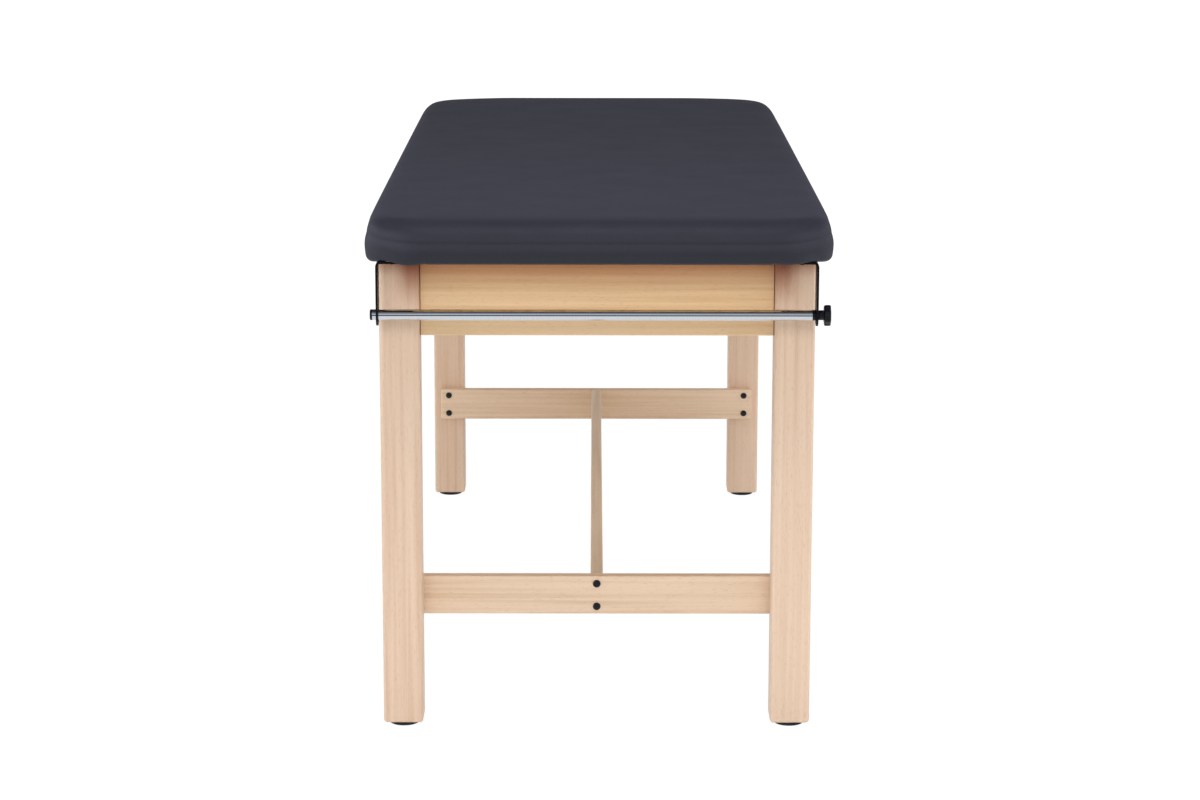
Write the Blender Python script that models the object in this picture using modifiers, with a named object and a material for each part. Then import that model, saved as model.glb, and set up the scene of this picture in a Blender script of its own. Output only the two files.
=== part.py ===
"""A padded treatment table with a beech H-brace frame and a paper-roll holder.

Metres, +Z up. X runs across the table, Y along it, and the roll holder is at the -Y end.
The origin is on the floor, under the middle of the top.
"""

import math

import bmesh
import bpy
from mathutils import Matrix, Vector

# Fits
SEAT_GAP = 0.0003  # between pieces that touch
HOLE_PLAY = 0.0003  # round a shank in its hole
CUT_OVERRUN = 0.002  # how far a cutter stands out of the face that it enters

# The padded top
TOP_LENGTH = 1.829
TOP_WIDTH = 0.686  # at the widest line of the cushion
TOP_HEIGHT = 0.794  # floor to the crown
TOP_DEPTH = 0.0627  # underside to the crown
PLAN_RADIUS = 0.080  # the cushion's corners, seen from above
BULGE_HEIGHT = 0.0425  # the widest line above the underside
BULGE_BAND = 0.002  # the short upright band at the widest line
DRAW_IN = 0.003  # how far the sides are pulled in at the underside
SHOULDER_REACH = 0.046  # how far in from the widest line the shoulder's round goes
SHOULDER_FULL_SHARE = 1.0  # power of the round's sine and cosine: 1 is an ellipse, more is flatter
CROWN_RISE = 0.0015  # the crown above the shoulder
CROWN_LOOP_SHARES = ((0.45, 0.7), (0.55, 0.3))  # of the crown's reach and rise, a loop each
CROWN_REACH = 0.150  # how far in from the shoulder the crown is level
VINYL_THICKNESS = 0.001
BORDER_WIDTH = 0.024  # vinyl folded under the deck and stapled
DECK_THICKNESS = 0.012
EDGE_FOAM = 0.007  # foam between the deck's edge and the cover
CORNER_STEPS = 7
SHOULDER_STEPS = 6
DRAW_STEPS = 4

# Legs
LEG_SIZE = 0.060
LEG_SPAN = 0.650  # across the legs' outer faces
END_OVERHANG = 0.108  # the top beyond the legs' end faces
LEG_ROUNDING = 0.006
LEG_END_ROUNDING = 0.005

# Feet
FOOT_RADIUS = 0.023
FOOT_HEIGHT = 0.0065
FOOT_ROUNDING = 0.003
FOOT_DISH_RADIUS = 0.007  # the moulded dish under each foot
FOOT_DISH_DEPTH = 0.002
STEM_RADIUS = 0.005
STEM_LENGTH = 0.022
STEM_CHAMFER = 0.001

# Aprons, corner blocks and the cross rail
APRON_HEIGHT = 0.126
APRON_THICKNESS = 0.020
BOARD_ROUNDING = 0.002
TENON_LENGTH = 0.016
TENON_THICKNESS = 0.010
TENON_HEIGHT = 0.090
BLOCK_THICKNESS = 0.022
BLOCK_HEIGHT = 0.070
BLOCK_STANDOFF = 0.003  # from the leg's inner corner, so that the bolt pulls it tight
RAIL_HEIGHT = 0.070
RAIL_THICKNESS = 0.020
HOUSING_DEPTH = 0.006  # the rail's ends in the side aprons

# H-brace
STRETCHER_THICKNESS = 0.019
STRETCHER_HEIGHT = 0.060
STRETCHER_MIDDLE = 0.1932  # floor to the stretchers' centre line
STRETCHER_INSET = 0.014  # ends, in from the legs' outer faces
SCREW_SPREAD = 0.018  # each screw above or below the centre line

# Button-head socket screws of the H-brace
BUTTON_RADIUS = 0.006
BUTTON_HEIGHT = 0.0033
BUTTON_DOME_SHARE = 0.55  # share of the radius that is flat on top
BUTTON_DOME_STEPS = 3
SOCKET_ACROSS = 0.004
SOCKET_DEPTH = 0.002
BRACE_SHANK_RADIUS = 0.003
LEG_SCREW_LENGTH = 0.050
BRACE_SCREW_LENGTH = 0.060
BARREL_RADIUS = 0.005
BARREL_LENGTH = 0.016
BARREL_SETBACK = 0.032  # from the brace's end to the barrel nut

# Corner bolts
BOLT_RADIUS = 0.004
BOLT_GRIP = 0.030  # in the leg
BOLT_FLANGE_RADIUS = 0.0085
BOLT_FLANGE_HEIGHT = 0.0016
BOLT_HEAD_ACROSS = 0.013
BOLT_HEAD_HEIGHT = 0.0053

# Deck screws, up through the corner blocks
DECK_SCREW_RADIUS = 0.00225
DECK_SCREW_BITE = 0.009
DECK_HEAD_RADIUS = 0.0045
DECK_HEAD_HEIGHT = 0.0028
PAN_HEAD_SHARES = ((0, 1), (0.7, 0.9), (1, 0.35), (1, 0))  # of a pan head's radius and height
COUNTERBORE_RADIUS = 0.006
COUNTERBORE_DEPTH = 0.035
DECK_SCREW_OFFSET = 0.024  # along the block, from its bolt

# Paper-roll holder
BRACKET_THICKNESS = 0.003
BRACKET_WIDTH = 0.032
BRACKET_SPAN = 0.648  # across the brackets' outer faces
BRACKET_BEND = 0.004  # inner radius
FLANGE_LENGTH = 0.050
FLANGE_ROUNDING = 0.006
HOLDER_REACH = 0.0615  # the rod's axis in front of the legs' faces
ROD_DROP = 0.0806  # the rod's axis below the flanges' upper face
ROD_RADIUS = 0.008
ROD_WALL = 0.0015
ROD_OVERHANG = 0.0060  # the tube beyond the left bracket
ROD_HOLE_PLAY = 0.0005
CAP_LENGTH = 0.0032
PLUG_LENGTH = 0.022
COLLAR_LENGTH = 0.0044
COLLAR_RADIUS = 0.0078
BRACKET_SCREW_RADIUS = 0.0021
BRACKET_SCREW_BITE = 0.009
BRACKET_HEAD_RADIUS = 0.0044
BRACKET_HEAD_HEIGHT = 0.0026
BRACKET_SCREW_FIRST = 0.024  # from the bracket's outer face
BRACKET_SCREW_SECOND = 0.040

# Knob
STUD_RADIUS = 0.004
STUD_IN_ROD = 0.0135
KNOB_BORE = 0.012
WASHER_RADIUS = 0.0072
WASHER_THICKNESS = 0.0012
NECK_RADIUS = 0.00735
NECK_LENGTH = 0.0072
KNOB_RADIUS = 0.0158
KNOB_LENGTH = 0.0098
KNOB_FLUTE_DEPTH = 0.0016
KNOB_LOBES = 7
KNOB_ROUNDING = 0.0022

# Facets
SMOOTH_ANGLE = math.radians(35)
ROUND_SIDES = 16
SCREW_SIDES = 12
PLUG_SIDES = 24
FINE_SIDES = 32
KNOB_SIDES = 56

# Places that follow from the sizes
HALF_LENGTH = TOP_LENGTH / 2
HALF_WIDTH = TOP_WIDTH / 2
UNDERSIDE = TOP_HEIGHT - TOP_DEPTH
FRAME_TOP = UNDERSIDE - SEAT_GAP
DECK_BOTTOM = UNDERSIDE + VINYL_THICKNESS + SEAT_GAP
DECK_TOP = DECK_BOTTOM + DECK_THICKNESS
LEG_X = LEG_SPAN / 2 - LEG_SIZE / 2
LEG_Y = HALF_LENGTH - END_OVERHANG - LEG_SIZE / 2
INNER_X = LEG_X - LEG_SIZE / 2
INNER_Y = LEG_Y - LEG_SIZE / 2
LEG_FRONT = LEG_Y + LEG_SIZE / 2
LEG_BOTTOM = FOOT_HEIGHT + SEAT_GAP
APRON_MIDDLE = FRAME_TOP - APRON_HEIGHT / 2
BLOCK_MIDDLE = FRAME_TOP - BLOCK_HEIGHT / 2
DIAGONAL = math.sqrt(2)
APRON_CORNER_X = LEG_X - APRON_THICKNESS / 2
APRON_CORNER_Y = LEG_Y - APRON_THICKNESS / 2
LEG_CORNER_DEPTH = (LEG_SIZE - APRON_THICKNESS) / 2 * DIAGONAL
BLOCK_NEAR = LEG_CORNER_DEPTH + BLOCK_STANDOFF
BLOCK_FAR = BLOCK_NEAR + BLOCK_THICKNESS
STRETCHER_Y = INNER_Y - SEAT_GAP - STRETCHER_THICKNESS / 2
STRETCHER_LENGTH = LEG_SPAN - 2 * STRETCHER_INSET
BRACE_END = STRETCHER_Y - STRETCHER_THICKNESS / 2 - SEAT_GAP
SCREW_HEIGHTS = (STRETCHER_MIDDLE + SCREW_SPREAD, STRETCHER_MIDDLE - SCREW_SPREAD)
HOLDER_Y = -LEG_FRONT - HOLDER_REACH
ROD_Z = FRAME_TOP - ROD_DROP
BRACKET_OUTER = BRACKET_SPAN / 2
BRACKET_INNER = BRACKET_OUTER - BRACKET_THICKNESS
ROD_LEFT = -BRACKET_OUTER - ROD_OVERHANG
ROD_RIGHT = BRACKET_INNER - SEAT_GAP - COLLAR_LENGTH - SEAT_GAP
ROD_BORE = ROD_RADIUS - ROD_WALL
COLLAR_OUTER = BRACKET_INNER - SEAT_GAP
WASHER_INNER = BRACKET_OUTER + SEAT_GAP
KNOB_START = WASHER_INNER + WASHER_THICKNESS + SEAT_GAP
STUD_START = COLLAR_OUTER - STUD_IN_ROD
ALIGNED = 0.999  # cosine above which an edge counts as lying along an axis
WELD = 0.00001

ENDS = ((-1, "front"), (1, "rear"))
SIDES = ((-1, "left"), (1, "right"))


def start_clean():
    """Empty the scene and make the collections for the pieces and for the cutters."""
    for old in list(bpy.data.objects):
        bpy.data.objects.remove(old, do_unlink=True)
    found = []
    for name in ("treatment_table", "cutters"):
        group = bpy.data.collections.new(name)
        bpy.context.scene.collection.children.link(group)
        found.append(group)
    return found


PARTS, CUTTERS = start_clean()


def finish_of(name, colour, roughness, metallic=0.0):
    """A plain Principled material."""
    made = bpy.data.materials.new(name)
    made.use_nodes = True
    shader = made.node_tree.nodes["Principled BSDF"]
    shader.inputs["Base Color"].default_value = (*colour, 1.0)
    shader.inputs["Roughness"].default_value = roughness
    shader.inputs["Metallic"].default_value = metallic
    return made


BEECH = finish_of("lacquered_beech", (0.72, 0.53, 0.38), 0.45)
PLYWOOD = finish_of("plywood", (0.62, 0.45, 0.28), 0.6)
VINYL = finish_of("charcoal_vinyl", (0.045, 0.045, 0.058), 0.42)
FOAM = finish_of("foam", (0.80, 0.76, 0.62), 0.9)
BLACK_STEEL = finish_of("black_steel", (0.012, 0.012, 0.015), 0.35, 0.6)
CHROME = finish_of("chrome", (0.75, 0.76, 0.78), 0.08, 1.0)
BLACK_PLASTIC = finish_of("black_plastic", (0.012, 0.012, 0.016), 0.4)
RUBBER = finish_of("black_rubber", (0.01, 0.01, 0.01), 0.8)
ZINC = finish_of("zinc_steel", (0.55, 0.56, 0.58), 0.3, 1.0)


def add_piece(name, mesh, material, location=(0, 0, 0), rotation=None, parent=None):
    """Link one named piece, shaded smooth except at its edges."""
    piece = bpy.data.objects.new(name, mesh)
    PARTS.objects.link(piece)
    if not mesh.materials:
        mesh.materials.append(material)
        mesh.shade_smooth()
        mesh.set_sharp_from_angle(angle=SMOOTH_ANGLE)
    piece.location = location
    if rotation is not None:
        piece.rotation_mode = "QUATERNION"
        piece.rotation_quaternion = rotation
    if parent is not None:
        piece.parent = parent
        piece.matrix_parent_inverse = Matrix.Translation(parent.location).inverted()
    return piece


def mesh_from(bm, name):
    """Store a bmesh with its faces pointing out."""
    bmesh.ops.recalc_face_normals(bm, faces=bm.faces)
    mesh = bpy.data.meshes.new(name)
    bm.to_mesh(mesh)
    bm.free()
    return mesh


def slab(size):
    """A box of this size, centred."""
    bm = bmesh.new()
    bmesh.ops.create_cube(bm, size=1.0)
    bmesh.ops.scale(bm, vec=size, verts=bm.verts)
    return bm


def edges_along(bm, axis):
    """The edges that lie along one axis."""
    found = []
    for edge in bm.edges:
        way = (edge.verts[1].co - edge.verts[0].co).normalized()
        if abs(way[axis]) > ALIGNED:
            found.append(edge)
    return found


def round_edges(bm, edges, radius, segments=2):
    """Round these edges."""
    bmesh.ops.bevel(
        bm, geom=edges, offset=radius, offset_type="OFFSET", segments=segments, profile=0.5,
        affect="EDGES", clamp_overlap=False, material=-1,
    )


def end_face(bm, axis, sign):
    """The face that looks furthest along an axis."""
    facing = [face for face in bm.faces if abs(face.normal[axis]) > ALIGNED]
    return max(facing, key=lambda face: sign * face.calc_center_median()[axis])


def drill(bm, start, way, radius, depth, sides=ROUND_SIDES):
    """Add a round cutter that enters at start and goes along way."""
    way = Vector(way).normalized()
    length = depth + CUT_OVERRUN
    middle = Vector(start) + way * (depth - CUT_OVERRUN) / 2
    place = Matrix.Translation(middle) @ way.to_track_quat("Z", "Y").to_matrix().to_4x4()
    bmesh.ops.create_cone(
        bm, cap_ends=True, segments=sides, radius1=radius, radius2=radius, depth=length, matrix=place
    )


def pocket(bm, size, centre):
    """Add a box cutter."""
    place = Matrix.Translation(Vector(centre)) @ Matrix.Diagonal((*size, 1.0))
    bmesh.ops.create_cube(bm, size=1.0, matrix=place)


def apply_boolean(piece, tool_mesh, operation="DIFFERENCE"):
    """Cut a piece by a tool that stays in the cutters' collection."""
    tool = bpy.data.objects.new(f"{piece.name}_tool", tool_mesh)
    CUTTERS.objects.link(tool)
    tool.hide_render = True
    tool.display_type = "WIRE"
    change = piece.modifiers.new("cut", "BOOLEAN")
    change.object = tool
    change.operation = operation
    change.solver = "EXACT"


def cut(piece, bm):
    """Take the cutters in a bmesh out of a piece."""
    apply_boolean(piece, mesh_from(bm, f"{piece.name}_tool"))


def baked(piece):
    """The mesh of a piece with its modifiers worked in; the piece itself is removed."""
    depsgraph = bpy.context.evaluated_depsgraph_get()
    mesh = bpy.data.meshes.new_from_object(piece.evaluated_get(depsgraph))
    for change in piece.modifiers:
        if change.type == "BOOLEAN":
            bpy.data.objects.remove(change.object, do_unlink=True)
    bpy.data.objects.remove(piece, do_unlink=True)
    return mesh


def turned(name, outline, material, sides=ROUND_SIDES):
    """Turn an outline of (radius, height) pairs, given from the top down its outer side, about Z."""
    mesh = bpy.data.meshes.new(name)
    points = [(radius, 0.0, height) for radius, height in outline]
    closed = outline[0][0] > 0
    pairs = [(i, i + 1) for i in range(len(points) - 1)]
    if closed:
        pairs.append((len(points) - 1, 0))
    mesh.from_pydata(points, pairs, [])
    piece = add_piece(name, mesh, material)
    spin = piece.modifiers.new("turn", "SCREW")
    spin.axis = "Z"
    spin.steps = sides
    spin.render_steps = sides
    spin.use_merge_vertices = True
    spin.merge_threshold = WELD
    spin.use_smooth_shade = True
    return piece


def hex_cutter(across, start, depth):
    """A six-sided cutter that enters downwards at start."""
    bm = bmesh.new()
    drill(bm, (0, 0, start), (0, 0, -1), across / math.sqrt(3), depth, sides=6)
    return bm


def add_turned(name, outline, material, location, way, parent=None, sides=ROUND_SIDES):
    """A turned piece placed with its own +Z along way."""
    rotation = Vector(way).to_track_quat("Z", "Y")
    mesh = baked(turned(name, outline, material, sides))
    return add_piece(name, mesh, material, location, rotation, parent)


# The padded top


def plan_slab(half_width, half_length, radius, band):
    """The widest band of the cushion, as a slab with rounded corners."""
    bm = slab((2 * half_width, 2 * half_length, band))
    round_edges(bm, edges_along(bm, 2), radius, CORNER_STEPS)
    return bm


def grow(bm, face, inward, rise):
    """Inset a face evenly and move it along its normal."""
    bmesh.ops.inset_region(
        bm, faces=[face], use_boundary=True, use_even_offset=True, thickness=inward, depth=rise
    )


def shoulder_shares(step):
    """How far out and up one loop of the shoulder lies, as shares of its reach and rise."""
    turn = math.pi / 2 * step / SHOULDER_STEPS
    out = max(0, math.cos(turn)) ** SHOULDER_FULL_SHARE if step < SHOULDER_STEPS else 0
    return out, math.sin(turn) ** SHOULDER_FULL_SHARE


def cushion_form(shrink, bottom_reach):
    """The cushion's outer form, set in by shrink, with the underside's rim this wide."""
    half_width = HALF_WIDTH - shrink
    half_length = HALF_LENGTH - shrink
    bm = plan_slab(half_width, half_length, PLAN_RADIUS - shrink, BULGE_BAND)
    bm.faces.ensure_lookup_table()
    middle = UNDERSIDE + BULGE_HEIGHT
    bmesh.ops.translate(bm, vec=(0, 0, middle), verts=bm.verts)
    rise = TOP_DEPTH - CROWN_RISE - BULGE_HEIGHT - BULGE_BAND / 2 - shrink
    reach = SHOULDER_REACH - shrink
    upper = end_face(bm, 2, 1)
    loops = [shoulder_shares(step) for step in range(SHOULDER_STEPS + 1)]
    for (out, up), (next_out, next_up) in zip(loops, loops[1:]):
        grow(bm, upper, reach * (out - next_out), rise * (next_up - up))
    crown_loops(bm, upper, half_width - reach, half_length - reach)
    drop = BULGE_HEIGHT - BULGE_BAND / 2 - shrink
    lower = min(bm.faces, key=lambda face: face.calc_center_median().z)
    for step in range(DRAW_STEPS):
        now, then = (math.pi / 2 * s / DRAW_STEPS for s in (step, step + 1))
        grow(bm, lower, DRAW_IN * (math.cos(now) - math.cos(then)), drop * (math.sin(then) - math.sin(now)))
    if bottom_reach:
        grow(bm, lower, bottom_reach, 0)
        bmesh.ops.delete(bm, geom=[lower], context="FACES")
    return bm


def crown_loops(bm, face, half_width, half_length):
    """Raise the middle of the top in a shallow crown."""
    for inward_share, rise_share in CROWN_LOOP_SHARES:
        made = bmesh.ops.extrude_discrete_faces(bm, faces=[face])["faces"][0]
        inward = CROWN_REACH * inward_share
        shape = Vector(((half_width - inward) / half_width, (half_length - inward) / half_length, 1))
        bmesh.ops.scale(bm, vec=shape, verts=made.verts)
        bmesh.ops.translate(bm, vec=(0, 0, CROWN_RISE * rise_share), verts=made.verts)
        half_width -= inward
        half_length -= inward
        face = made


def vinyl_cover():
    """One skin of vinyl, pulled round the foam and folded under the deck."""
    bm = cushion_form(0, BORDER_WIDTH)
    cover = add_piece("vinyl_cover", mesh_from(bm, "vinyl_cover"), VINYL)
    skin = cover.modifiers.new("skin", "SOLIDIFY")
    skin.thickness = VINYL_THICKNESS
    skin.offset = -1
    skin.use_even_offset = True


def deck_half_sizes():
    """Half the deck's width and length, inside the folded vinyl."""
    edge = DRAW_IN + VINYL_THICKNESS + SEAT_GAP + EDGE_FOAM
    return HALF_WIDTH - edge, HALF_LENGTH - edge, PLAN_RADIUS - edge


def foam_pad():
    """The foam fills the cover and comes down round the deck's edge."""
    bm = cushion_form(VINYL_THICKNESS + SEAT_GAP, 0)
    pad = add_piece("foam_pad", mesh_from(bm, "foam_pad"), FOAM)
    half_width, half_length, radius = deck_half_sizes()
    well_top = DECK_TOP + SEAT_GAP
    well_bottom = UNDERSIDE - CUT_OVERRUN
    tool = plan_slab(
        half_width + SEAT_GAP, half_length + SEAT_GAP, radius + SEAT_GAP, well_top - well_bottom
    )
    bmesh.ops.translate(tool, vec=(0, 0, (well_top + well_bottom) / 2), verts=tool.verts)
    cut(pad, tool)


def deck_board():
    """The plywood deck with blind holes for the screws that come up into it."""
    half_width, half_length, radius = deck_half_sizes()
    bm = plan_slab(half_width, half_length, radius, DECK_THICKNESS)
    bmesh.ops.translate(bm, vec=(0, 0, DECK_BOTTOM + DECK_THICKNESS / 2), verts=bm.verts)
    deck = add_piece("deck_board", mesh_from(bm, "deck_board"), PLYWOOD)
    tool = bmesh.new()
    for x, y in deck_screw_places():
        drill(
            tool, (x, y, DECK_BOTTOM), (0, 0, 1), DECK_SCREW_RADIUS + HOLE_PLAY,
            DECK_SCREW_BITE + HOLE_PLAY,
        )
    for sign, _ in SIDES:
        for inward in (BRACKET_SCREW_FIRST, BRACKET_SCREW_SECOND):
            place = (sign * (BRACKET_OUTER - inward), HOLDER_Y, DECK_BOTTOM)
            drill(
                tool, place, (0, 0, 1), BRACKET_SCREW_RADIUS + HOLE_PLAY, BRACKET_SCREW_BITE + HOLE_PLAY
            )
    cut(deck, tool)


# The frame


def corner_frame(x_sign, y_sign):
    """The apron corner's inner point and the way from it towards the table's middle."""
    corner = Vector((x_sign * APRON_CORNER_X, y_sign * APRON_CORNER_Y, 0))
    return corner, Vector((-x_sign, -y_sign, 0)).normalized()


def deck_screw_places():
    """Where the four deck screws stand, one in each corner block."""
    places = []
    for x_sign, _ in SIDES:
        for y_sign, _ in ENDS:
            corner, inward = corner_frame(x_sign, y_sign)
            along = Vector((-x_sign, y_sign, 0)).normalized()
            spot = corner + inward * (BLOCK_NEAR + BLOCK_FAR) / 2 + along * DECK_SCREW_OFFSET
            places.append((spot.x, spot.y))
    return places


def leg(name, x_sign, y_sign):
    """A square leg with mortises, a foot socket and holes for its screws and its corner bolt."""
    height = FRAME_TOP - LEG_BOTTOM
    bm = slab((LEG_SIZE, LEG_SIZE, height))
    round_edges(bm, edges_along(bm, 2), LEG_ROUNDING, 4)
    round_edges(bm, list(end_face(bm, 2, -1).edges), LEG_END_ROUNDING, 3)
    x, y = x_sign * LEG_X, y_sign * LEG_Y
    post = add_piece(name, mesh_from(bm, name), BEECH, (x, y, LEG_BOTTOM + height / 2))
    tool = bmesh.new()
    depth = TENON_LENGTH + SEAT_GAP + CUT_OVERRUN
    wide, high = TENON_THICKNESS + 2 * SEAT_GAP, TENON_HEIGHT + 2 * SEAT_GAP
    inset = LEG_SIZE / 2 - (depth / 2 - CUT_OVERRUN)
    pocket(tool, (depth, wide, high), (x - x_sign * inset, y, APRON_MIDDLE))
    pocket(tool, (wide, depth, high), (x, y - y_sign * inset, APRON_MIDDLE))
    drill(tool, (x, y, LEG_BOTTOM), (0, 0, 1), STEM_RADIUS + HOLE_PLAY, STEM_LENGTH + HOLE_PLAY)
    shank = BRACE_SHANK_RADIUS + HOLE_PLAY
    bite = LEG_SCREW_LENGTH - STRETCHER_THICKNESS
    for z in SCREW_HEIGHTS:
        drill(tool, (x, y_sign * INNER_Y, z), (0, y_sign, 0), shank, bite)
    corner, inward = corner_frame(x_sign, y_sign)
    start = corner + inward * LEG_CORNER_DEPTH + Vector((0, 0, BLOCK_MIDDLE))
    drill(tool, start, -inward, BOLT_RADIUS + HOLE_PLAY, BOLT_GRIP + HOLE_PLAY)
    cut(post, tool)


def foot(name, x, y):
    """A turned rubber foot whose stem is pushed up into the leg."""
    outline = [
        (0, FOOT_HEIGHT + STEM_LENGTH),
        (STEM_RADIUS - STEM_CHAMFER, FOOT_HEIGHT + STEM_LENGTH),
        (STEM_RADIUS, FOOT_HEIGHT + STEM_LENGTH - STEM_CHAMFER),
        (STEM_RADIUS, FOOT_HEIGHT),
        (FOOT_RADIUS, FOOT_HEIGHT),
    ]
    for step in range(4):
        turn = math.pi / 2 * step / 3
        outline.append(
            (FOOT_RADIUS - FOOT_ROUNDING * (1 - math.cos(turn)), FOOT_ROUNDING * (1 - math.sin(turn)))
        )
    outline += [(FOOT_DISH_RADIUS, 0), (FOOT_DISH_RADIUS, FOOT_DISH_DEPTH), (0, FOOT_DISH_DEPTH)]
    add_turned(name, outline, RUBBER, (x, y, 0), (0, 0, 1), sides=24)


def apron(name, axis, length, centre):
    """A rail between two legs, with a stub tenon at each end."""
    size = [APRON_THICKNESS, APRON_THICKNESS, APRON_HEIGHT]
    size[axis] = length - 2 * SEAT_GAP
    bm = slab(size)
    round_edges(bm, edges_along(bm, axis), BOARD_ROUNDING)
    board = add_piece(name, mesh_from(bm, name), BEECH, centre)
    tongue = [TENON_THICKNESS, TENON_THICKNESS, TENON_HEIGHT]
    tongue[axis] = size[axis] + 2 * TENON_LENGTH
    tool = slab(tongue)
    bmesh.ops.translate(tool, vec=centre, verts=tool.verts)
    apply_boolean(board, mesh_from(tool, f"{name}_tenons"), "UNION")
    return board


def aprons():
    """Two end aprons and two side aprons, these housed out for the cross rail."""
    for sign, name in ENDS:
        apron(f"{name}_apron", 0, 2 * INNER_X, (0, sign * LEG_Y, APRON_MIDDLE))
    for sign, name in SIDES:
        side = apron(f"{name}_side_apron", 1, 2 * INNER_Y, (sign * LEG_X, 0, APRON_MIDDLE))
        tool = bmesh.new()
        depth = HOUSING_DEPTH + CUT_OVERRUN
        high = RAIL_HEIGHT + CUT_OVERRUN + SEAT_GAP
        pocket(
            tool,
            (depth, RAIL_THICKNESS + 2 * SEAT_GAP, high),
            (
                sign * (APRON_CORNER_X + HOUSING_DEPTH - depth / 2),
                0,
                FRAME_TOP + CUT_OVERRUN - high / 2,
            ),
        )
        cut(side, tool)


def cross_rail():
    """The rail under the middle of the deck."""
    length = 2 * (APRON_CORNER_X + HOUSING_DEPTH - SEAT_GAP)
    bm = slab((length, RAIL_THICKNESS, RAIL_HEIGHT))
    add_piece("deck_cross_rail", mesh_from(bm, "deck_cross_rail"), BEECH, (0, 0, FRAME_TOP - RAIL_HEIGHT / 2))


def corner_block(name, x_sign, y_sign):
    """A mitred block across the corner, bored for its bolt and its deck screw."""
    corner, inward = corner_frame(x_sign, y_sign)
    bm = slab((1, BLOCK_THICKNESS, BLOCK_HEIGHT))
    for vert in bm.verts:
        reach = BLOCK_FAR if vert.co.y > 0 else BLOCK_NEAR
        vert.co.x = math.copysign(reach - SEAT_GAP * DIAGONAL, vert.co.x)
    place = corner + inward * (BLOCK_NEAR + BLOCK_FAR) / 2 + Vector((0, 0, BLOCK_MIDDLE))
    turn = Matrix.Rotation(math.atan2(inward.y, inward.x) - math.pi / 2, 3, "Z").to_quaternion()
    block = add_piece(name, mesh_from(bm, name), BEECH, place, turn)
    tool = bmesh.new()
    start = corner + inward * BLOCK_FAR + Vector((0, 0, BLOCK_MIDDLE))
    drill(tool, start, -inward, BOLT_RADIUS + HOLE_PLAY, BLOCK_THICKNESS + CUT_OVERRUN)
    cut(block, tool)
    along = Vector((-x_sign, y_sign, 0)).normalized()
    spot = corner + inward * (BLOCK_NEAR + BLOCK_FAR) / 2 + along * DECK_SCREW_OFFSET
    bottom = FRAME_TOP - BLOCK_HEIGHT
    bore = bmesh.new()
    drill(bore, (spot.x, spot.y, bottom), (0, 0, 1), COUNTERBORE_RADIUS, COUNTERBORE_DEPTH)
    cut(block, bore)
    bore = bmesh.new()
    drill(
        bore, (spot.x, spot.y, bottom), (0, 0, 1), DECK_SCREW_RADIUS + HOLE_PLAY,
        BLOCK_HEIGHT + CUT_OVERRUN,
    )
    cut(block, bore)


def corner_bolt_mesh():
    """A flanged hexagon bolt, its seat at the origin and its shank down."""
    length = BLOCK_THICKNESS + BLOCK_STANDOFF + BOLT_GRIP
    outline = [
        (0, BOLT_FLANGE_HEIGHT),
        (BOLT_FLANGE_RADIUS, BOLT_FLANGE_HEIGHT),
        (BOLT_FLANGE_RADIUS, 0),
        (BOLT_RADIUS, 0),
        (BOLT_RADIUS, -length),
        (0, -length),
    ]
    bolt = turned("corner_bolt", outline, ZINC)
    head = bmesh.new()
    across = BOLT_HEAD_ACROSS / math.sqrt(3)
    rise = BOLT_FLANGE_HEIGHT / 2 + CUT_OVERRUN
    drill(head, (0, 0, rise), (0, 0, 1), across, BOLT_HEAD_HEIGHT, sides=6)
    apply_boolean(bolt, mesh_from(head, "corner_bolt_head"), "UNION")
    return baked(bolt)


def pan_screw_mesh(name, head_radius, head_height, radius, length, material):
    """A pan-head wood screw, its seat at the origin and its point down."""
    outline = [(head_radius * out, head_height * up) for out, up in PAN_HEAD_SHARES]
    outline += [(radius, 0), (radius, -length + 2 * radius), (0, -length)]
    return baked(turned(name, outline, material, SCREW_SIDES))


def button_screw_mesh(name, length):
    """A button-head socket screw, its seat at the origin and its shank down."""
    flat = BUTTON_RADIUS * BUTTON_DOME_SHARE
    curve = BUTTON_RADIUS - flat
    dome = BUTTON_HEIGHT - SEAT_GAP
    outline = [(0, BUTTON_HEIGHT)]
    for step in range(BUTTON_DOME_STEPS + 1):
        turn = math.pi / 2 * step / BUTTON_DOME_STEPS
        outline.append((flat + curve * math.sin(turn), SEAT_GAP + dome * math.cos(turn)))
    outline += [(BUTTON_RADIUS, 0), (BRACE_SHANK_RADIUS, 0), (BRACE_SHANK_RADIUS, -length), (0, -length)]
    screw = turned(name, outline, BLACK_STEEL)
    apply_boolean(screw, mesh_from(hex_cutter(SOCKET_ACROSS, BUTTON_HEIGHT, SOCKET_DEPTH), f"{name}_socket"))
    return baked(screw)


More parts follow.
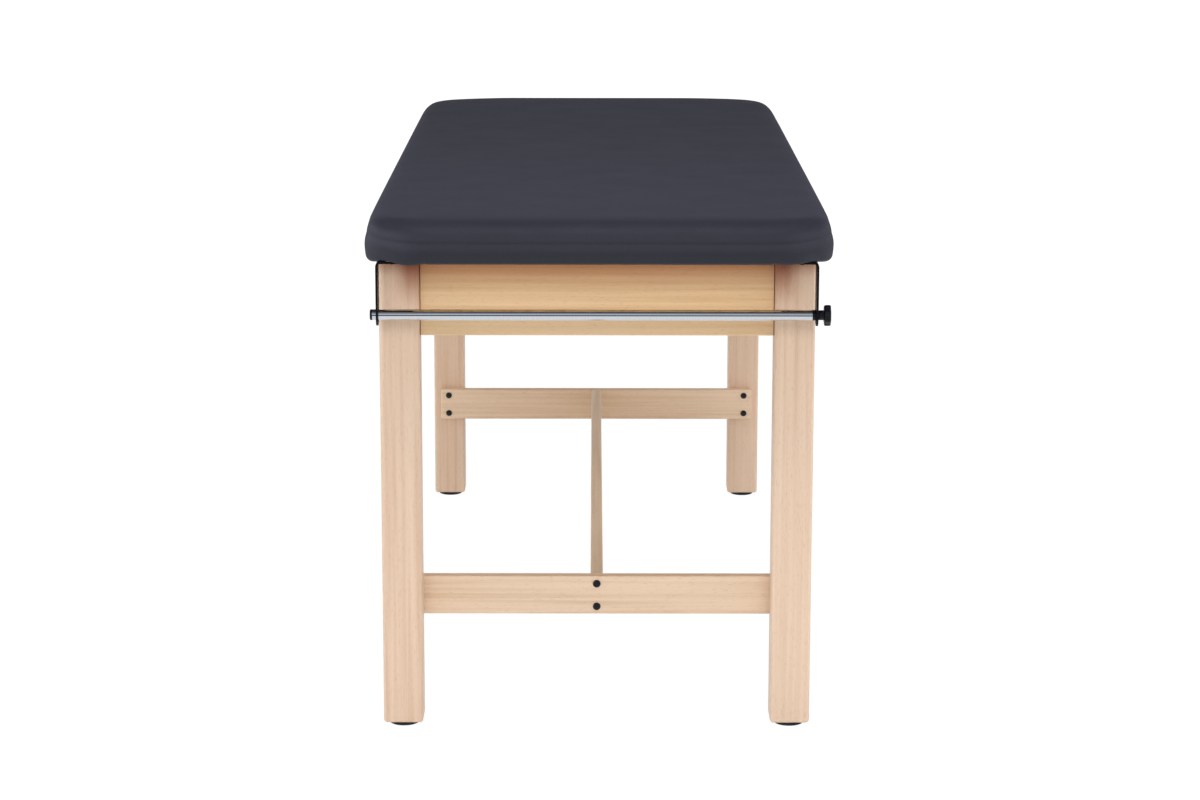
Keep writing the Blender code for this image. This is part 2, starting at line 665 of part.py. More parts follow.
def corners():
    """Everything that is there once in each corner."""
    bolt_mesh = corner_bolt_mesh()
    seat = FRAME_TOP - BLOCK_HEIGHT + COUNTERBORE_DEPTH
    deck_length = DECK_BOTTOM + DECK_SCREW_BITE - seat
    deck_mesh = pan_screw_mesh(
        "deck_screw", DECK_HEAD_RADIUS, DECK_HEAD_HEIGHT, DECK_SCREW_RADIUS, deck_length, ZINC
    )
    down = Vector((0, 0, -1)).to_track_quat("Z", "Y")
    spots = iter(deck_screw_places())
    for x_sign, side in SIDES:
        for y_sign, end in ENDS:
            label = f"{end}_{side}"
            leg(f"{label}_leg", x_sign, y_sign)
            foot(f"{label}_foot", x_sign * LEG_X, y_sign * LEG_Y)
            corner_block(f"{label}_corner_block", x_sign, y_sign)
            corner, inward = corner_frame(x_sign, y_sign)
            place = corner + inward * (BLOCK_FAR + SEAT_GAP) + Vector((0, 0, BLOCK_MIDDLE))
            add_piece(f"{label}_corner_bolt", bolt_mesh, ZINC, place, inward.to_track_quat("Z", "Y"))
            x, y = next(spots)
            add_piece(f"{label}_deck_screw", deck_mesh, ZINC, (x, y, seat - SEAT_GAP), down)


# The H-brace


def stretcher(name, y_sign):
    """An end stretcher on the legs' inner faces, drilled for its screws and for the brace's."""
    bm = slab((STRETCHER_LENGTH, STRETCHER_THICKNESS, STRETCHER_HEIGHT))
    round_edges(bm, list(bm.edges), BOARD_ROUNDING)
    board = add_piece(name, mesh_from(bm, name), BEECH, (0, y_sign * STRETCHER_Y, STRETCHER_MIDDLE))
    tool = bmesh.new()
    start = y_sign * (STRETCHER_Y - STRETCHER_THICKNESS / 2)
    for x in (-LEG_X, 0, LEG_X):
        for z in SCREW_HEIGHTS:
            drill(
                tool, (x, start, z), (0, y_sign, 0), BRACE_SHANK_RADIUS + HOLE_PLAY,
                STRETCHER_THICKNESS + CUT_OVERRUN,
            )
    cut(board, tool)


def long_brace():
    """The brace between the stretchers, drilled for its screws and its barrel nuts."""
    bm = slab((STRETCHER_THICKNESS, 2 * BRACE_END, STRETCHER_HEIGHT))
    round_edges(bm, edges_along(bm, 1), BOARD_ROUNDING)
    board = add_piece("long_brace", mesh_from(bm, "long_brace"), BEECH, (0, 0, STRETCHER_MIDDLE))
    shanks, nuts = bmesh.new(), bmesh.new()
    depth = BRACE_SCREW_LENGTH - STRETCHER_THICKNESS
    for y_sign, _ in ENDS:
        for z in SCREW_HEIGHTS:
            drill(
                shanks, (0, y_sign * BRACE_END, z), (0, -y_sign, 0),
                BRACE_SHANK_RADIUS + HOLE_PLAY, depth,
            )
            place = (-STRETCHER_THICKNESS / 2, y_sign * (BRACE_END - BARREL_SETBACK), z)
            drill(
                nuts, place, (1, 0, 0), BARREL_RADIUS + HOLE_PLAY, STRETCHER_THICKNESS + CUT_OVERRUN
            )
    cut(board, shanks)
    cut(board, nuts)


def barrel_nut_mesh():
    """A barrel nut across the brace, with the hole for its screw."""
    half = BARREL_LENGTH / 2
    outline = [(0, half), (BARREL_RADIUS, half), (BARREL_RADIUS, -half), (0, -half)]
    nut = turned("barrel_nut", outline, ZINC)
    tool = bmesh.new()
    through = 2 * (BARREL_RADIUS + CUT_OVERRUN)
    drill(tool, (0, -BARREL_RADIUS, 0), (0, 1, 0), BRACE_SHANK_RADIUS + HOLE_PLAY, through)
    apply_boolean(nut, mesh_from(tool, "barrel_nut_hole"))
    return baked(nut)


def h_brace():
    """Stretchers, brace, screws and barrel nuts."""
    long_brace()
    leg_screw = button_screw_mesh("leg_screw", LEG_SCREW_LENGTH - SEAT_GAP)
    brace_screw = button_screw_mesh("brace_screw", BRACE_SCREW_LENGTH - SEAT_GAP)
    nut = barrel_nut_mesh()
    nut_turn = Matrix.Rotation(math.pi / 2, 3, "Y").to_quaternion()
    for y_sign, end in ENDS:
        stretcher(f"{end}_stretcher", y_sign)
        inner = y_sign * (STRETCHER_Y - STRETCHER_THICKNESS / 2 - SEAT_GAP)
        outer = y_sign * (STRETCHER_Y + STRETCHER_THICKNESS / 2 + SEAT_GAP)
        in_turn = Vector((0, -y_sign, 0)).to_track_quat("Z", "Y")
        out_turn = Vector((0, y_sign, 0)).to_track_quat("Z", "Y")
        for z, level in zip(SCREW_HEIGHTS, ("upper", "lower")):
            for x_sign, side in SIDES:
                place = (x_sign * LEG_X, inner, z)
                add_piece(f"{end}_{side}_leg_screw_{level}", leg_screw, BLACK_STEEL, place, in_turn)
            add_piece(f"{end}_brace_screw_{level}", brace_screw, BLACK_STEEL, (0, outer, z), out_turn)
            place = (0, y_sign * (BRACE_END - BARREL_SETBACK), z)
            add_piece(f"{end}_barrel_nut_{level}", nut, ZINC, place, nut_turn)


# The paper-roll holder


def bracket_blank(sign):
    """The flat bar: a round-ended drop, a bend at the top and a flange that goes inwards."""
    bm = bmesh.new()
    half = BRACKET_WIDTH / 2
    middle = BRACKET_OUTER - BRACKET_THICKNESS / 2
    turn_radius = BRACKET_BEND + BRACKET_THICKNESS / 2
    top = FRAME_TOP - BRACKET_THICKNESS / 2 - turn_radius
    bottom = ROD_Z - half
    corners_yz = ((-half, bottom), (half, bottom), (half, top), (-half, top))
    verts = [bm.verts.new((sign * middle, HOLDER_Y + y, z)) for y, z in corners_yz]
    bm.faces.new(verts)
    bmesh.ops.bevel(
        bm, geom=verts[:2], offset=half - WELD, segments=6, profile=0.5, affect="VERTICES",
        clamp_overlap=False, material=-1,
    )
    rim = [edge for edge in bm.edges if min(v.co.z for v in edge.verts) > top - WELD]
    spun = bmesh.ops.spin(
        bm, geom=rim + list(rim[0].verts), cent=(sign * (middle - turn_radius), HOLDER_Y, top),
        axis=(0, -sign, 0), angle=math.pi / 2, steps=4,
    )
    tip = [item for item in spun["geom_last"] if isinstance(item, bmesh.types.BMEdge)]
    grown = bmesh.ops.extrude_edge_only(bm, edges=tip)["geom"]
    ends = [item for item in grown if isinstance(item, bmesh.types.BMVert)]
    run = FLANGE_LENGTH - BRACKET_BEND - BRACKET_THICKNESS
    bmesh.ops.translate(bm, vec=(-sign * run, 0, 0), verts=ends)
    bmesh.ops.bevel(
        bm, geom=ends, offset=FLANGE_ROUNDING, segments=4, profile=0.5, affect="VERTICES",
        clamp_overlap=False, material=-1,
    )
    bmesh.ops.remove_doubles(bm, verts=bm.verts, dist=WELD)
    return bm


def bracket(name, sign, hole_radius):
    """An L of flat bar, screwed up under the deck, that carries one end of the rod."""
    bar = add_piece(name, mesh_from(bracket_blank(sign), name), BLACK_STEEL)
    wall = bar.modifiers.new("wall", "SOLIDIFY")
    wall.thickness = BRACKET_THICKNESS
    wall.offset = 0
    wall.use_even_offset = True
    tool = bmesh.new()
    through = BRACKET_THICKNESS + CUT_OVERRUN
    start = (sign * BRACKET_OUTER, HOLDER_Y, ROD_Z)
    drill(tool, start, (-sign, 0, 0), hole_radius, through, sides=FINE_SIDES)
    for inward in (BRACKET_SCREW_FIRST, BRACKET_SCREW_SECOND):
        start = (sign * (BRACKET_OUTER - inward), HOLDER_Y, FRAME_TOP)
        drill(tool, start, (0, 0, -1), BRACKET_SCREW_RADIUS + HOLE_PLAY, through)
    cut(bar, tool)


def plug_outline(rim_radius, rim_length, bore):
    """The outline of a plug for the rod's bore, its rim up; bore is the radius of its hole."""
    stem = ROD_BORE - SEAT_GAP
    outline = [
        (bore, rim_length),
        (rim_radius - SEAT_GAP, rim_length),
        (rim_radius, rim_length - SEAT_GAP),
        (rim_radius, 0),
        (stem, 0),
        (stem, -PLUG_LENGTH),
        (bore, -PLUG_LENGTH),
    ]
    return outline


def roll_rod():
    """The chromed tube with its end cap and its threaded insert, on the slide's axis."""
    runner = bpy.data.objects.new("rod_axis", None)
    PARTS.objects.link(runner)
    runner.location = (0, HOLDER_Y, ROD_Z)
    half = (ROD_RIGHT - ROD_LEFT) / 2
    tube = [(ROD_BORE, half), (ROD_RADIUS, half), (ROD_RADIUS, -half), (ROD_BORE, -half)]
    middle = ((ROD_RIGHT + ROD_LEFT) / 2, HOLDER_Y, ROD_Z)
    add_turned("roll_rod", tube, CHROME, middle, (1, 0, 0), runner, FINE_SIDES)
    place = (ROD_LEFT - SEAT_GAP, HOLDER_Y, ROD_Z)
    cap = plug_outline(ROD_RADIUS, CAP_LENGTH, 0)
    add_turned("rod_end_cap", cap, BLACK_PLASTIC, place, (-1, 0, 0), runner, PLUG_SIDES)
    place = (ROD_RIGHT + SEAT_GAP, HOLDER_Y, ROD_Z)
    insert = plug_outline(COLLAR_RADIUS, COLLAR_LENGTH, STUD_RADIUS + HOLE_PLAY)
    add_turned("rod_threaded_insert", insert, BLACK_PLASTIC, place, (1, 0, 0), runner, PLUG_SIDES)



def knob():
    """The clamping knob: a neck that bears on the washer and a fluted head."""
    bore = STUD_RADIUS + HOLE_PLAY
    neck_top = NECK_LENGTH + KNOB_LENGTH / 2
    outline = [(0, neck_top), (NECK_RADIUS, neck_top), (NECK_RADIUS, 0), (0, 0)]
    axle = bpy.data.objects.new("knob_axis", None)
    PARTS.objects.link(axle)
    axle.location = (KNOB_START, HOLDER_Y, ROD_Z)
    body = turned("clamp_knob", outline, BLACK_PLASTIC, PLUG_SIDES)
    apply_boolean(body, mesh_from(fluted_disc(), "clamp_knob_head"), "UNION")
    tool = bmesh.new()
    drill(tool, (0, 0, 0), (0, 0, 1), bore, KNOB_BORE)
    cut(body, tool)
    mesh = baked(body)
    turn = Vector((1, 0, 0)).to_track_quat("Z", "Y")
    add_piece("clamp_knob", mesh, BLACK_PLASTIC, axle.location, turn, axle)
    stud_end = KNOB_START + KNOB_BORE - SEAT_GAP
    length = stud_end - STUD_START
    stud = [(0, length / 2), (STUD_RADIUS, length / 2), (STUD_RADIUS, -length / 2), (0, -length / 2)]
    middle = ((stud_end + STUD_START) / 2, HOLDER_Y, ROD_Z)
    add_turned("knob_stud", stud, ZINC, middle, (1, 0, 0), axle)
    ring = [
        (bore, WASHER_THICKNESS),
        (WASHER_RADIUS, WASHER_THICKNESS),
        (WASHER_RADIUS, 0),
        (bore, 0),
    ]
    add_turned("knob_washer", ring, ZINC, (WASHER_INNER, HOLDER_Y, ROD_Z), (1, 0, 0), axle, 24)



def fluted_disc():
    """The knob's head: a disc with shallow flutes, rounded at both rims."""
    bm = bmesh.new()
    bmesh.ops.create_cone(
        bm, cap_ends=True, segments=KNOB_SIDES, radius1=KNOB_RADIUS, radius2=KNOB_RADIUS,
        depth=KNOB_LENGTH - 2 * KNOB_ROUNDING,
    )
    for vert in bm.verts:
        around = math.atan2(vert.co.y, vert.co.x)
        dip = KNOB_FLUTE_DEPTH * (1 - math.cos(KNOB_LOBES * around)) / 2
        share = (KNOB_RADIUS - dip) / KNOB_RADIUS
        vert.co.x *= share
        vert.co.y *= share
    for sign in (-1, 1):
        face = end_face(bm, 2, sign)
        for step in range(3):
            now, then = (math.pi / 2 * s / 3 for s in (step, step + 1))
            grow(
                bm, face, KNOB_ROUNDING * (math.cos(now) - math.cos(then)),
                KNOB_ROUNDING * (math.sin(then) - math.sin(now)),
            )
    bmesh.ops.translate(bm, vec=(0, 0, NECK_LENGTH + KNOB_LENGTH / 2), verts=bm.verts)
    return bm


def roll_holder():
    """Brackets, their screws, the rod and the knob."""
    bracket("left_roll_bracket", -1, ROD_RADIUS + ROD_HOLE_PLAY)
    bracket("right_roll_bracket", 1, STUD_RADIUS + HOLE_PLAY)
    seat = FRAME_TOP - BRACKET_THICKNESS - SEAT_GAP
    length = DECK_BOTTOM + BRACKET_SCREW_BITE - seat
    mesh = pan_screw_mesh(
        "bracket_screw", BRACKET_HEAD_RADIUS, BRACKET_HEAD_HEIGHT, BRACKET_SCREW_RADIUS, length, BLACK_STEEL
    )
    down = Vector((0, 0, -1)).to_track_quat("Z", "Y")
    for sign, side in SIDES:
        for inward, label in ((BRACKET_SCREW_FIRST, "outer"), (BRACKET_SCREW_SECOND, "inner")):
            place = (sign * (BRACKET_OUTER - inward), HOLDER_Y, seat)
            add_piece(f"{side}_bracket_screw_{label}", mesh, BLACK_STEEL, place, down)
    roll_rod()
    knob()


vinyl_cover()
foam_pad()
deck_board()
corners()
aprons()
cross_rail()
h_brace()
roll_holder()
print("pieces:", sum(piece.type == "MESH" for piece in PARTS.objects))
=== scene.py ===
"""The finish of the padded treatment table: beech, vinyl, chrome, black steel, and a soft studio."""

import math

import bmesh
import bpy
from mathutils import Matrix, Vector, noise


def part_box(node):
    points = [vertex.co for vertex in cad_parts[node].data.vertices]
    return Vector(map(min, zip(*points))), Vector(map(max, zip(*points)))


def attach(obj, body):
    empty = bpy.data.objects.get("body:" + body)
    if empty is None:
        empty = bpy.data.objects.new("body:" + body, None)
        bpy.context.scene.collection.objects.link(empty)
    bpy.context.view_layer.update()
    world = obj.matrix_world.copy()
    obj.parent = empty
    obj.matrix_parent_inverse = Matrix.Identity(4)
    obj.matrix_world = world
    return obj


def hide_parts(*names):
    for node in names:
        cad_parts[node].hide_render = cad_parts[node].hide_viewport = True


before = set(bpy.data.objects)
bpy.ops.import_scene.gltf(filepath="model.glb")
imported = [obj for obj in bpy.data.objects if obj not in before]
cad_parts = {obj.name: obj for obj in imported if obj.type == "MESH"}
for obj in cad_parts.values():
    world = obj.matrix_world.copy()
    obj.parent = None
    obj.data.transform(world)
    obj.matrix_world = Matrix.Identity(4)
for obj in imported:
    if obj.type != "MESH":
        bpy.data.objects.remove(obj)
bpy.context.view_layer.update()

MM = 0.001

# The camera and its place, from a fit to the photograph's straight edges
PHOTO_WIDTH = 1200
FOCAL_PIXELS = 3086.9
SENSOR_MM = 36.0
CAMERA_PLACE = (-0.0046, -5.3345, 1.422)
CAMERA_PITCH = 0.1986
CAMERA_YAW = 0.0020
CAMERA_ROLL = 0.0016

# The cushion's form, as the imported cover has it
COVER_LOW, COVER_HIGH = (Vector(corner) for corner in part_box("vinyl_cover"))
PROUD = 2.2 * MM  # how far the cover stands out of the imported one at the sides
HALF_WIDTH = COVER_HIGH.x + PROUD
HALF_LENGTH = COVER_HIGH.y
UNDERSIDE = COVER_LOW.z
CROWN = COVER_HIGH.z
DECK_HIGH = Vector(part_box("deck_board")[1])
PLAN_RADIUS = 97 * MM
PLAN_SEGMENTS = 24
LONG_CUTS, SHORT_CUTS = 160, 56  # points along the straight part of a side and of an end
WIDEST = 18 * MM  # the widest line above the underside
BAND = 1 * MM  # the upright band reaches this far above and below the widest line
SIDE_HEIGHT = 34.7 * MM  # from the underside to the shoulder's foot
SIDE_BOW = 80 * MM  # radius of the side's slow bow
SIDE_STEPS = 5
SHOULDER_REACH = 44 * MM
SHOULDER_POWER = 0.77  # 1 is an ellipse, less is a squarer round
SHOULDER_STEPS = 24
CROWN_RISE = 0.6 * MM
CROWN_REACH = 150 * MM
CROWN_STEPS = 10
FOLD_RADIUS = 4.5 * MM  # the fold at the side's foot
FOLD_STEPS = 8
BORDER_WIDTH = 20 * MM
BORDER_STEPS = 5
VINYL_THICKNESS = 1 * MM
SEAT_GAP = 0.3 * MM

# How the cushion settles
ASIDE = 2.8 * MM  # the pad sits this far to the right of the frame
LONG_BOW = 2.6 * MM  # the long sides bow out this far at mid-length
END_DROP = 7 * MM  # the shoulder falls this much more at the front end
END_REACH = 1.4 * SHOULDER_REACH
END_BOW = 320 * MM  # diameter of the further bow that the two end faces have
BOW_FOOT = 0.7 * WIDEST  # height at which that bow is upright
REAR_SHARE = 0.5  # the rear end's drop and bags, as a share of the front's
REAR_DROP = 9 * MM  # how far the rear left corner sinks
REAR_DROP_RIGHT_SHARE = 0.7
REAR_DROP_REACH = 150 * MM
DROP_FADE = 24 * MM  # height over which a drop comes in above the widest line
RIM_SHARE = 0.88  # further in than this share of the half sizes, the underside stays flat
SIDE_SHARE = 0.96  # further out than this, the staples' pull shows
TOP_FOOT = 1.6 * SIDE_HEIGHT  # the foam's waves begin at this height
CORNER_START = 0.5  # share of the half width from which the rear corners sink
SOFTENING = 2.4 * MM  # drawn in on the long sides' shoulders near the corners
SOFT_REACH = 1.9 * PLAN_RADIUS
SOFT_HEIGHT = SIDE_HEIGHT + 12 * MM
SOFT_SPREAD = 28 * MM
FOAM_WAVE = 0.4 * MM
# Tucks and bags round a corner: strength, place from the side at 0 to the end at 1, and width
TUCKS = ((0.6, 0.55, 0.14), (0.5, 0.96, 0.06))
LEFT_BAGS = ((1.3, 0.27, 0.25), (0.9, 0.79, 0.19))
RIGHT_BAGS = ((1.0, 0.27, 0.25), (0.3, 0.79, 0.19))
GATHER_HEIGHT = 18 * MM  # they lift or hang the fold up to this height
GATHER_DEPTH = 9 * MM  # and this far in from it
BAG_OUT = 1.5 * MM
TUCK_IN = 2.4 * MM
BAG_DOWN = 2.5 * MM
TUCK_UP = 1.2 * MM
STAPLE_STEP = 25 * MM  # from one staple to the next
STAPLE_PULL = 0.4 * MM
STAPLE_INSET = 12 * MM  # from the fold to the staples
STAPLE_SIZE = Vector((10 * MM, 1.2 * MM, 0.25 * MM))
STAPLE_SINK = 0.16 * MM  # its middle below the underside
LEG_ZONE = (0.735, 0.815)  # no staples where the legs press on the border
FLANGE_ZONE = -0.840  # nor in front of here, where the brackets' flanges do

# The wood
LEG_EDGE = 6 * MM
LEG_EDGE_STEPS = 8
LEG_FOOT_EDGE = 5 * MM
LINE_WIDTH = 1.1 * MM  # the dark joint line, a glue line and painted shade
LINE_DEPTH = 1 * MM
LINE_SINK = 0.4 * MM  # from the apron's face to the line's middle, into the joint
PAINTED_SHADE_NEAR = (16 * MM, -12 * MM)  # where the deeper painted shade begins and is full, from its own distance
PAINTED_SHADE_DEEP = (-95 * MM, -8 * MM)  # and from the pad's underside

# The hardware, in millimetres as its outlines are
FOOT_RADIUS, FOOT_EDGE = 23, 3
FOOT_EDGE_STEPS = 8
SCREW_HEAD = 3.3  # height of a button head with its washer face
SOCKET_RIM = 3.1  # height of the edge round the hexagonal socket
STUD_PITCH = 1.25
STUD_ROOT, STUD_CREST = 3.35, 4.0
KNOB_RADIUS = 15.8
KNOB_FLUTES = 7
KNOB_DIP = 1.6
KNOB_EDGE = 2.2
KNOB_DEPTH = 9.8
KNOB_START = 7.2  # where the head begins, past its neck
ROUND_STEPS = 6

# The studio
FLOOR_GLOW = 1.09  # white of the floor to the camera
FLOOR_SHARE = 0.86  # the rest of the floor's tone is its real light and shadow
FLOOR_FADE = (2.6, 4.4)  # metres over which the floor turns plain white
GLOSS_FADE = (2.3, 3.8)  # metres over which the floor grows dark in gloss
WING_FADE = (2.4, 4.0)  # metres to the sides over which it is pale again in gloss
AMBIENT = 0.37


# Materials


def colour(text):
    """An sRGB hex colour as linear red, green, blue and alpha."""
    found = []
    for place in (0, 2, 4):
        value = int(text[place:place + 2], 16) / 255
        found.append(value / 12.92 if value <= 0.04045 else ((value + 0.055) / 1.055) ** 2.4)
    return (*found, 1.0)


def new_material(name):
    """A material with its shader; returns the material, its tree and the shader."""
    material = bpy.data.materials.new(name)
    material.use_nodes = True
    tree = material.node_tree
    return material, tree, tree.nodes["Principled BSDF"]


def add_node(tree, kind, settings=None, inputs=None):
    """Add a node; an input is a value or another node's output."""
    made = tree.nodes.new(kind)
    for key, value in (settings or {}).items():
        setattr(made, key, value)
    for key, value in (inputs or {}).items():
        if isinstance(value, bpy.types.NodeSocket):
            tree.links.new(value, made.inputs[key])
        else:
            made.inputs[key].default_value = value
    return made


def ramp(tree, source, stops):
    """A colour ramp over (position, hex colour) stops."""
    made = add_node(tree, "ShaderNodeValToRGB", None, {"Fac": source})
    points = made.color_ramp.elements
    while len(points) < len(stops):
        points.new(0.5)
    for point, (place, value) in zip(points, stops):
        point.position = place
        point.color = colour(value)
    return made.outputs["Color"]


def grain_space(tree, axis, across_mm, along_mm, shift=0.0):
    """Object coordinates scaled so that one unit is this wide across the grain and this long along it."""
    place = add_node(tree, "ShaderNodeTexCoord")
    scale = [1 / (across_mm * MM)] * 3
    scale[axis] = 1 / (along_mm * MM)
    moved = add_node(
        tree, "ShaderNodeMapping", None,
        {"Vector": place.outputs["Object"], "Scale": scale, "Location": (shift, shift, shift)},
    )
    return moved.outputs["Vector"]


def smooth_range(tree, value, start, end):
    """0 at the start and 1 at the end, eased between them."""
    return add_node(
        tree, "ShaderNodeMapRange", {"interpolation_type": "SMOOTHSTEP"},
        {"Value": value, "From Min": start, "From Max": end},
    ).outputs[0]


def toned(tree, surface, share, tone):
    """A colour multiplied by a tone, by a share."""
    return add_node(
        tree, "ShaderNodeMix", {"data_type": "RGBA", "blend_type": "MULTIPLY"},
        {"Factor": share, 6: surface, 7: colour(tone)},
    ).outputs[2]


def paint_pad_shade(tree, surface, height, depth, tone, inner=None):
    """Painted shade of the pad's shadow on wood: a warm darker tone, from a height to a depth below it.

    Within about the distance inner of the table's middle, the painted shade reaches further down.
    """
    place = add_node(tree, "ShaderNodeTexCoord")
    parts = add_node(tree, "ShaderNodeSeparateXYZ", None, {"Vector": place.outputs["Object"]})
    # Painted shade: darkest at the pad's underside, fading out down the wood.
    level = smooth_range(tree, parts.outputs["Z"], height - depth, height)
    surface = toned(tree, surface, level, tone)
    if inner is None:
        return surface
    # A deeper painted shade on the parts nearer the table's middle.
    away = add_node(tree, "ShaderNodeMath", {"operation": "ABSOLUTE"}, {0: parts.outputs["X"]})
    near = smooth_range(tree, away.outputs[0], *(inner + step for step in PAINTED_SHADE_NEAR))
    deep = smooth_range(tree, parts.outputs["Z"], *(height + step for step in PAINTED_SHADE_DEEP))
    both = add_node(tree, "ShaderNodeMath", {"operation": "MULTIPLY"}, {0: near, 1: deep})
    return toned(tree, surface, both.outputs[0], tone)


def beech(name, axis, light, middle, dark, shift=0.0, painted_shade=None):
    """Steamed beech, satin lacquered: soft growth streaks and short dark ray flecks along the grain.

    The last argument holds what the painted shade of the pad's shadow takes after the surface, or nothing.
    """
    material, tree, shader = new_material(name)
    bend = add_node(
        tree, "ShaderNodeTexNoise", None,
        {"Vector": grain_space(tree, axis, 60, 700, shift), "Scale": 1.0, "Detail": 2.0},
    )
    streaks = add_node(
        tree, "ShaderNodeTexNoise", None,
        {"Vector": grain_space(tree, axis, 7, 420, shift), "Scale": 1.0, "Detail": 5.0, "Roughness": 0.55,
         "Distortion": 0.35},
    )
    both = add_node(
        tree, "ShaderNodeMath", {"operation": "MULTIPLY_ADD"},
        {0: bend.outputs["Fac"], 1: 0.55, 2: streaks.outputs["Fac"]},
    )
    wood = ramp(tree, both.outputs[0], ((0.52, dark), (0.74, middle), (0.98, light)))
    flecks = add_node(
        tree, "ShaderNodeTexNoise", None,
        {"Vector": grain_space(tree, axis, 1.3, 9, shift), "Scale": 1.0, "Detail": 1.0},
    )
    marked = add_node(
        tree, "ShaderNodeMapRange", None,
        {"Value": flecks.outputs["Fac"], "From Min": 0.60, "From Max": 0.72, "To Min": 0.0, "To Max": 0.20},
    )
    mixed = add_node(
        tree, "ShaderNodeMix", {"data_type": "RGBA"},
        {"Factor": marked.outputs[0], 6: wood, 7: colour("A97C55")},
    )
    # Painted shade of the pad's shadow, multiplied into the wood's colour at its top end.
    surface = paint_pad_shade(tree, mixed.outputs[2], *painted_shade) if painted_shade else mixed.outputs[2]
    tree.links.new(surface, shader.inputs["Base Color"])
    gloss = add_node(
        tree, "ShaderNodeMapRange", None,
        {"Value": streaks.outputs["Fac"], "To Min": 0.38, "To Max": 0.52},
    )
    tree.links.new(gloss.outputs[0], shader.inputs["Roughness"])
    pores = add_node(
        tree, "ShaderNodeBump", None,
        {"Height": flecks.outputs["Fac"], "Strength": 0.12, "Distance": 0.15 * MM},
    )
    tree.links.new(pores.outputs[0], shader.inputs["Normal"])
    shader.inputs["IOR"].default_value = 1.5
    shader.inputs["Coat Weight"].default_value = 0.12
    shader.inputs["Coat Roughness"].default_value = 0.3
    return material


def birch_plywood():
    """Sanded birch plywood: pale face, and thin light and dark plies where an edge shows."""
    material, tree, shader = new_material("birch_plywood_sanded")
    place = add_node(tree, "ShaderNodeTexCoord")
    parts = add_node(tree, "ShaderNodeSeparateXYZ", None, {"Vector": place.outputs["Object"]})
    plies = add_node(
        tree, "ShaderNodeMath", {"operation": "PINGPONG"}, {0: parts.outputs["Z"], 1: 1.4 * MM}
    )
    level = add_node(
        tree, "ShaderNodeMapRange", None,
        {"Value": plies.outputs[0], "From Max": 1.4 * MM, "To Min": 0.35, "To Max": 0.65},
    )
    figure = add_node(
        tree, "ShaderNodeTexNoise", None,
        {"Vector": grain_space(tree, 1, 9, 260), "Scale": 1.0, "Detail": 4.0},
    )
    both = add_node(
        tree, "ShaderNodeMath", {"operation": "MULTIPLY"}, {0: level.outputs[0], 1: figure.outputs["Fac"]}
    )
    wood = ramp(tree, both.outputs[0], ((0.15, "B58E62"), (0.3, "D2AE80")))
    tree.links.new(wood, shader.inputs["Base Color"])
    shader.inputs["Roughness"].default_value = 0.65
    return material


def upholstery_vinyl():
    """Smooth charcoal upholstery vinyl: embossed with a fine leather grain, satin, cloudy in its gloss."""
    material, tree, shader = new_material("upholstery_vinyl_charcoal")
    place = add_node(tree, "ShaderNodeTexCoord")
    grain = add_node(
        tree, "ShaderNodeTexVoronoi", {"feature": "DISTANCE_TO_EDGE"},
        {"Vector": place.outputs["Object"], "Scale": 1 / (1.6 * MM)},
    )
    cells = add_node(
        tree, "ShaderNodeMapRange", None, {"Value": grain.outputs["Distance"], "From Max": 0.25}
    )
    cloud = add_node(
        tree, "ShaderNodeTexNoise", None,
        {"Vector": place.outputs["Object"], "Scale": 1 / (90 * MM), "Detail": 3.0},
    )
    tint = ramp(tree, cloud.outputs["Fac"], ((0.3, "2B2B35"), (0.7, "2E2E38")))
    creased = add_node(
        tree, "ShaderNodeMix", {"data_type": "RGBA"},
        {"Factor": cells.outputs[0], 6: colour("24242C"), 7: tint},
    )
    tree.links.new(creased.outputs[2], shader.inputs["Base Color"])
    gloss = add_node(
        tree, "ShaderNodeMapRange", None,
        {"Value": cloud.outputs["Fac"], "From Min": 0.3, "From Max": 0.7, "To Min": 0.46, "To Max": 0.50},
    )
    tree.links.new(gloss.outputs[0], shader.inputs["Roughness"])
    swell = add_node(
        tree, "ShaderNodeBump", None,
        {"Height": cloud.outputs["Fac"], "Strength": 0.10, "Distance": 0.8 * MM},
    )
    emboss = add_node(
        tree, "ShaderNodeBump", None,
        {"Height": cells.outputs[0], "Strength": 0.10, "Distance": 0.1 * MM, "Normal": swell.outputs[0]},
    )
    tree.links.new(emboss.outputs[0], shader.inputs["Normal"])
    shader.inputs["IOR"].default_value = 1.47
    shader.inputs["Specular IOR Level"].default_value = 0.4
    return material


def speckled(name, dark, light, grain_mm, rough, metallic=0.0, strength=0.15, specular=0.5):
    """A finish with a fine even grain, in two close colours."""
    material, tree, shader = new_material(name)
    place = add_node(tree, "ShaderNodeTexCoord")
    grain = add_node(
        tree, "ShaderNodeTexNoise", None,
        {"Vector": place.outputs["Object"], "Scale": 1 / (grain_mm * MM), "Detail": 2.0},
    )
    tint = ramp(tree, grain.outputs["Fac"], ((0.35, dark), (0.65, light)))
    tree.links.new(tint, shader.inputs["Base Color"])
    gloss = add_node(
        tree, "ShaderNodeMapRange", None,
        {"Value": grain.outputs["Fac"], "To Min": rough - 0.05, "To Max": rough + 0.05},
    )
    tree.links.new(gloss.outputs[0], shader.inputs["Roughness"])
    relief = add_node(
        tree, "ShaderNodeBump", None,
        {"Height": grain.outputs["Fac"], "Strength": strength, "Distance": 0.05 * MM},
    )
    tree.links.new(relief.outputs[0], shader.inputs["Normal"])
    shader.inputs["Metallic"].default_value = metallic
    shader.inputs["Specular IOR Level"].default_value = specular
    return material


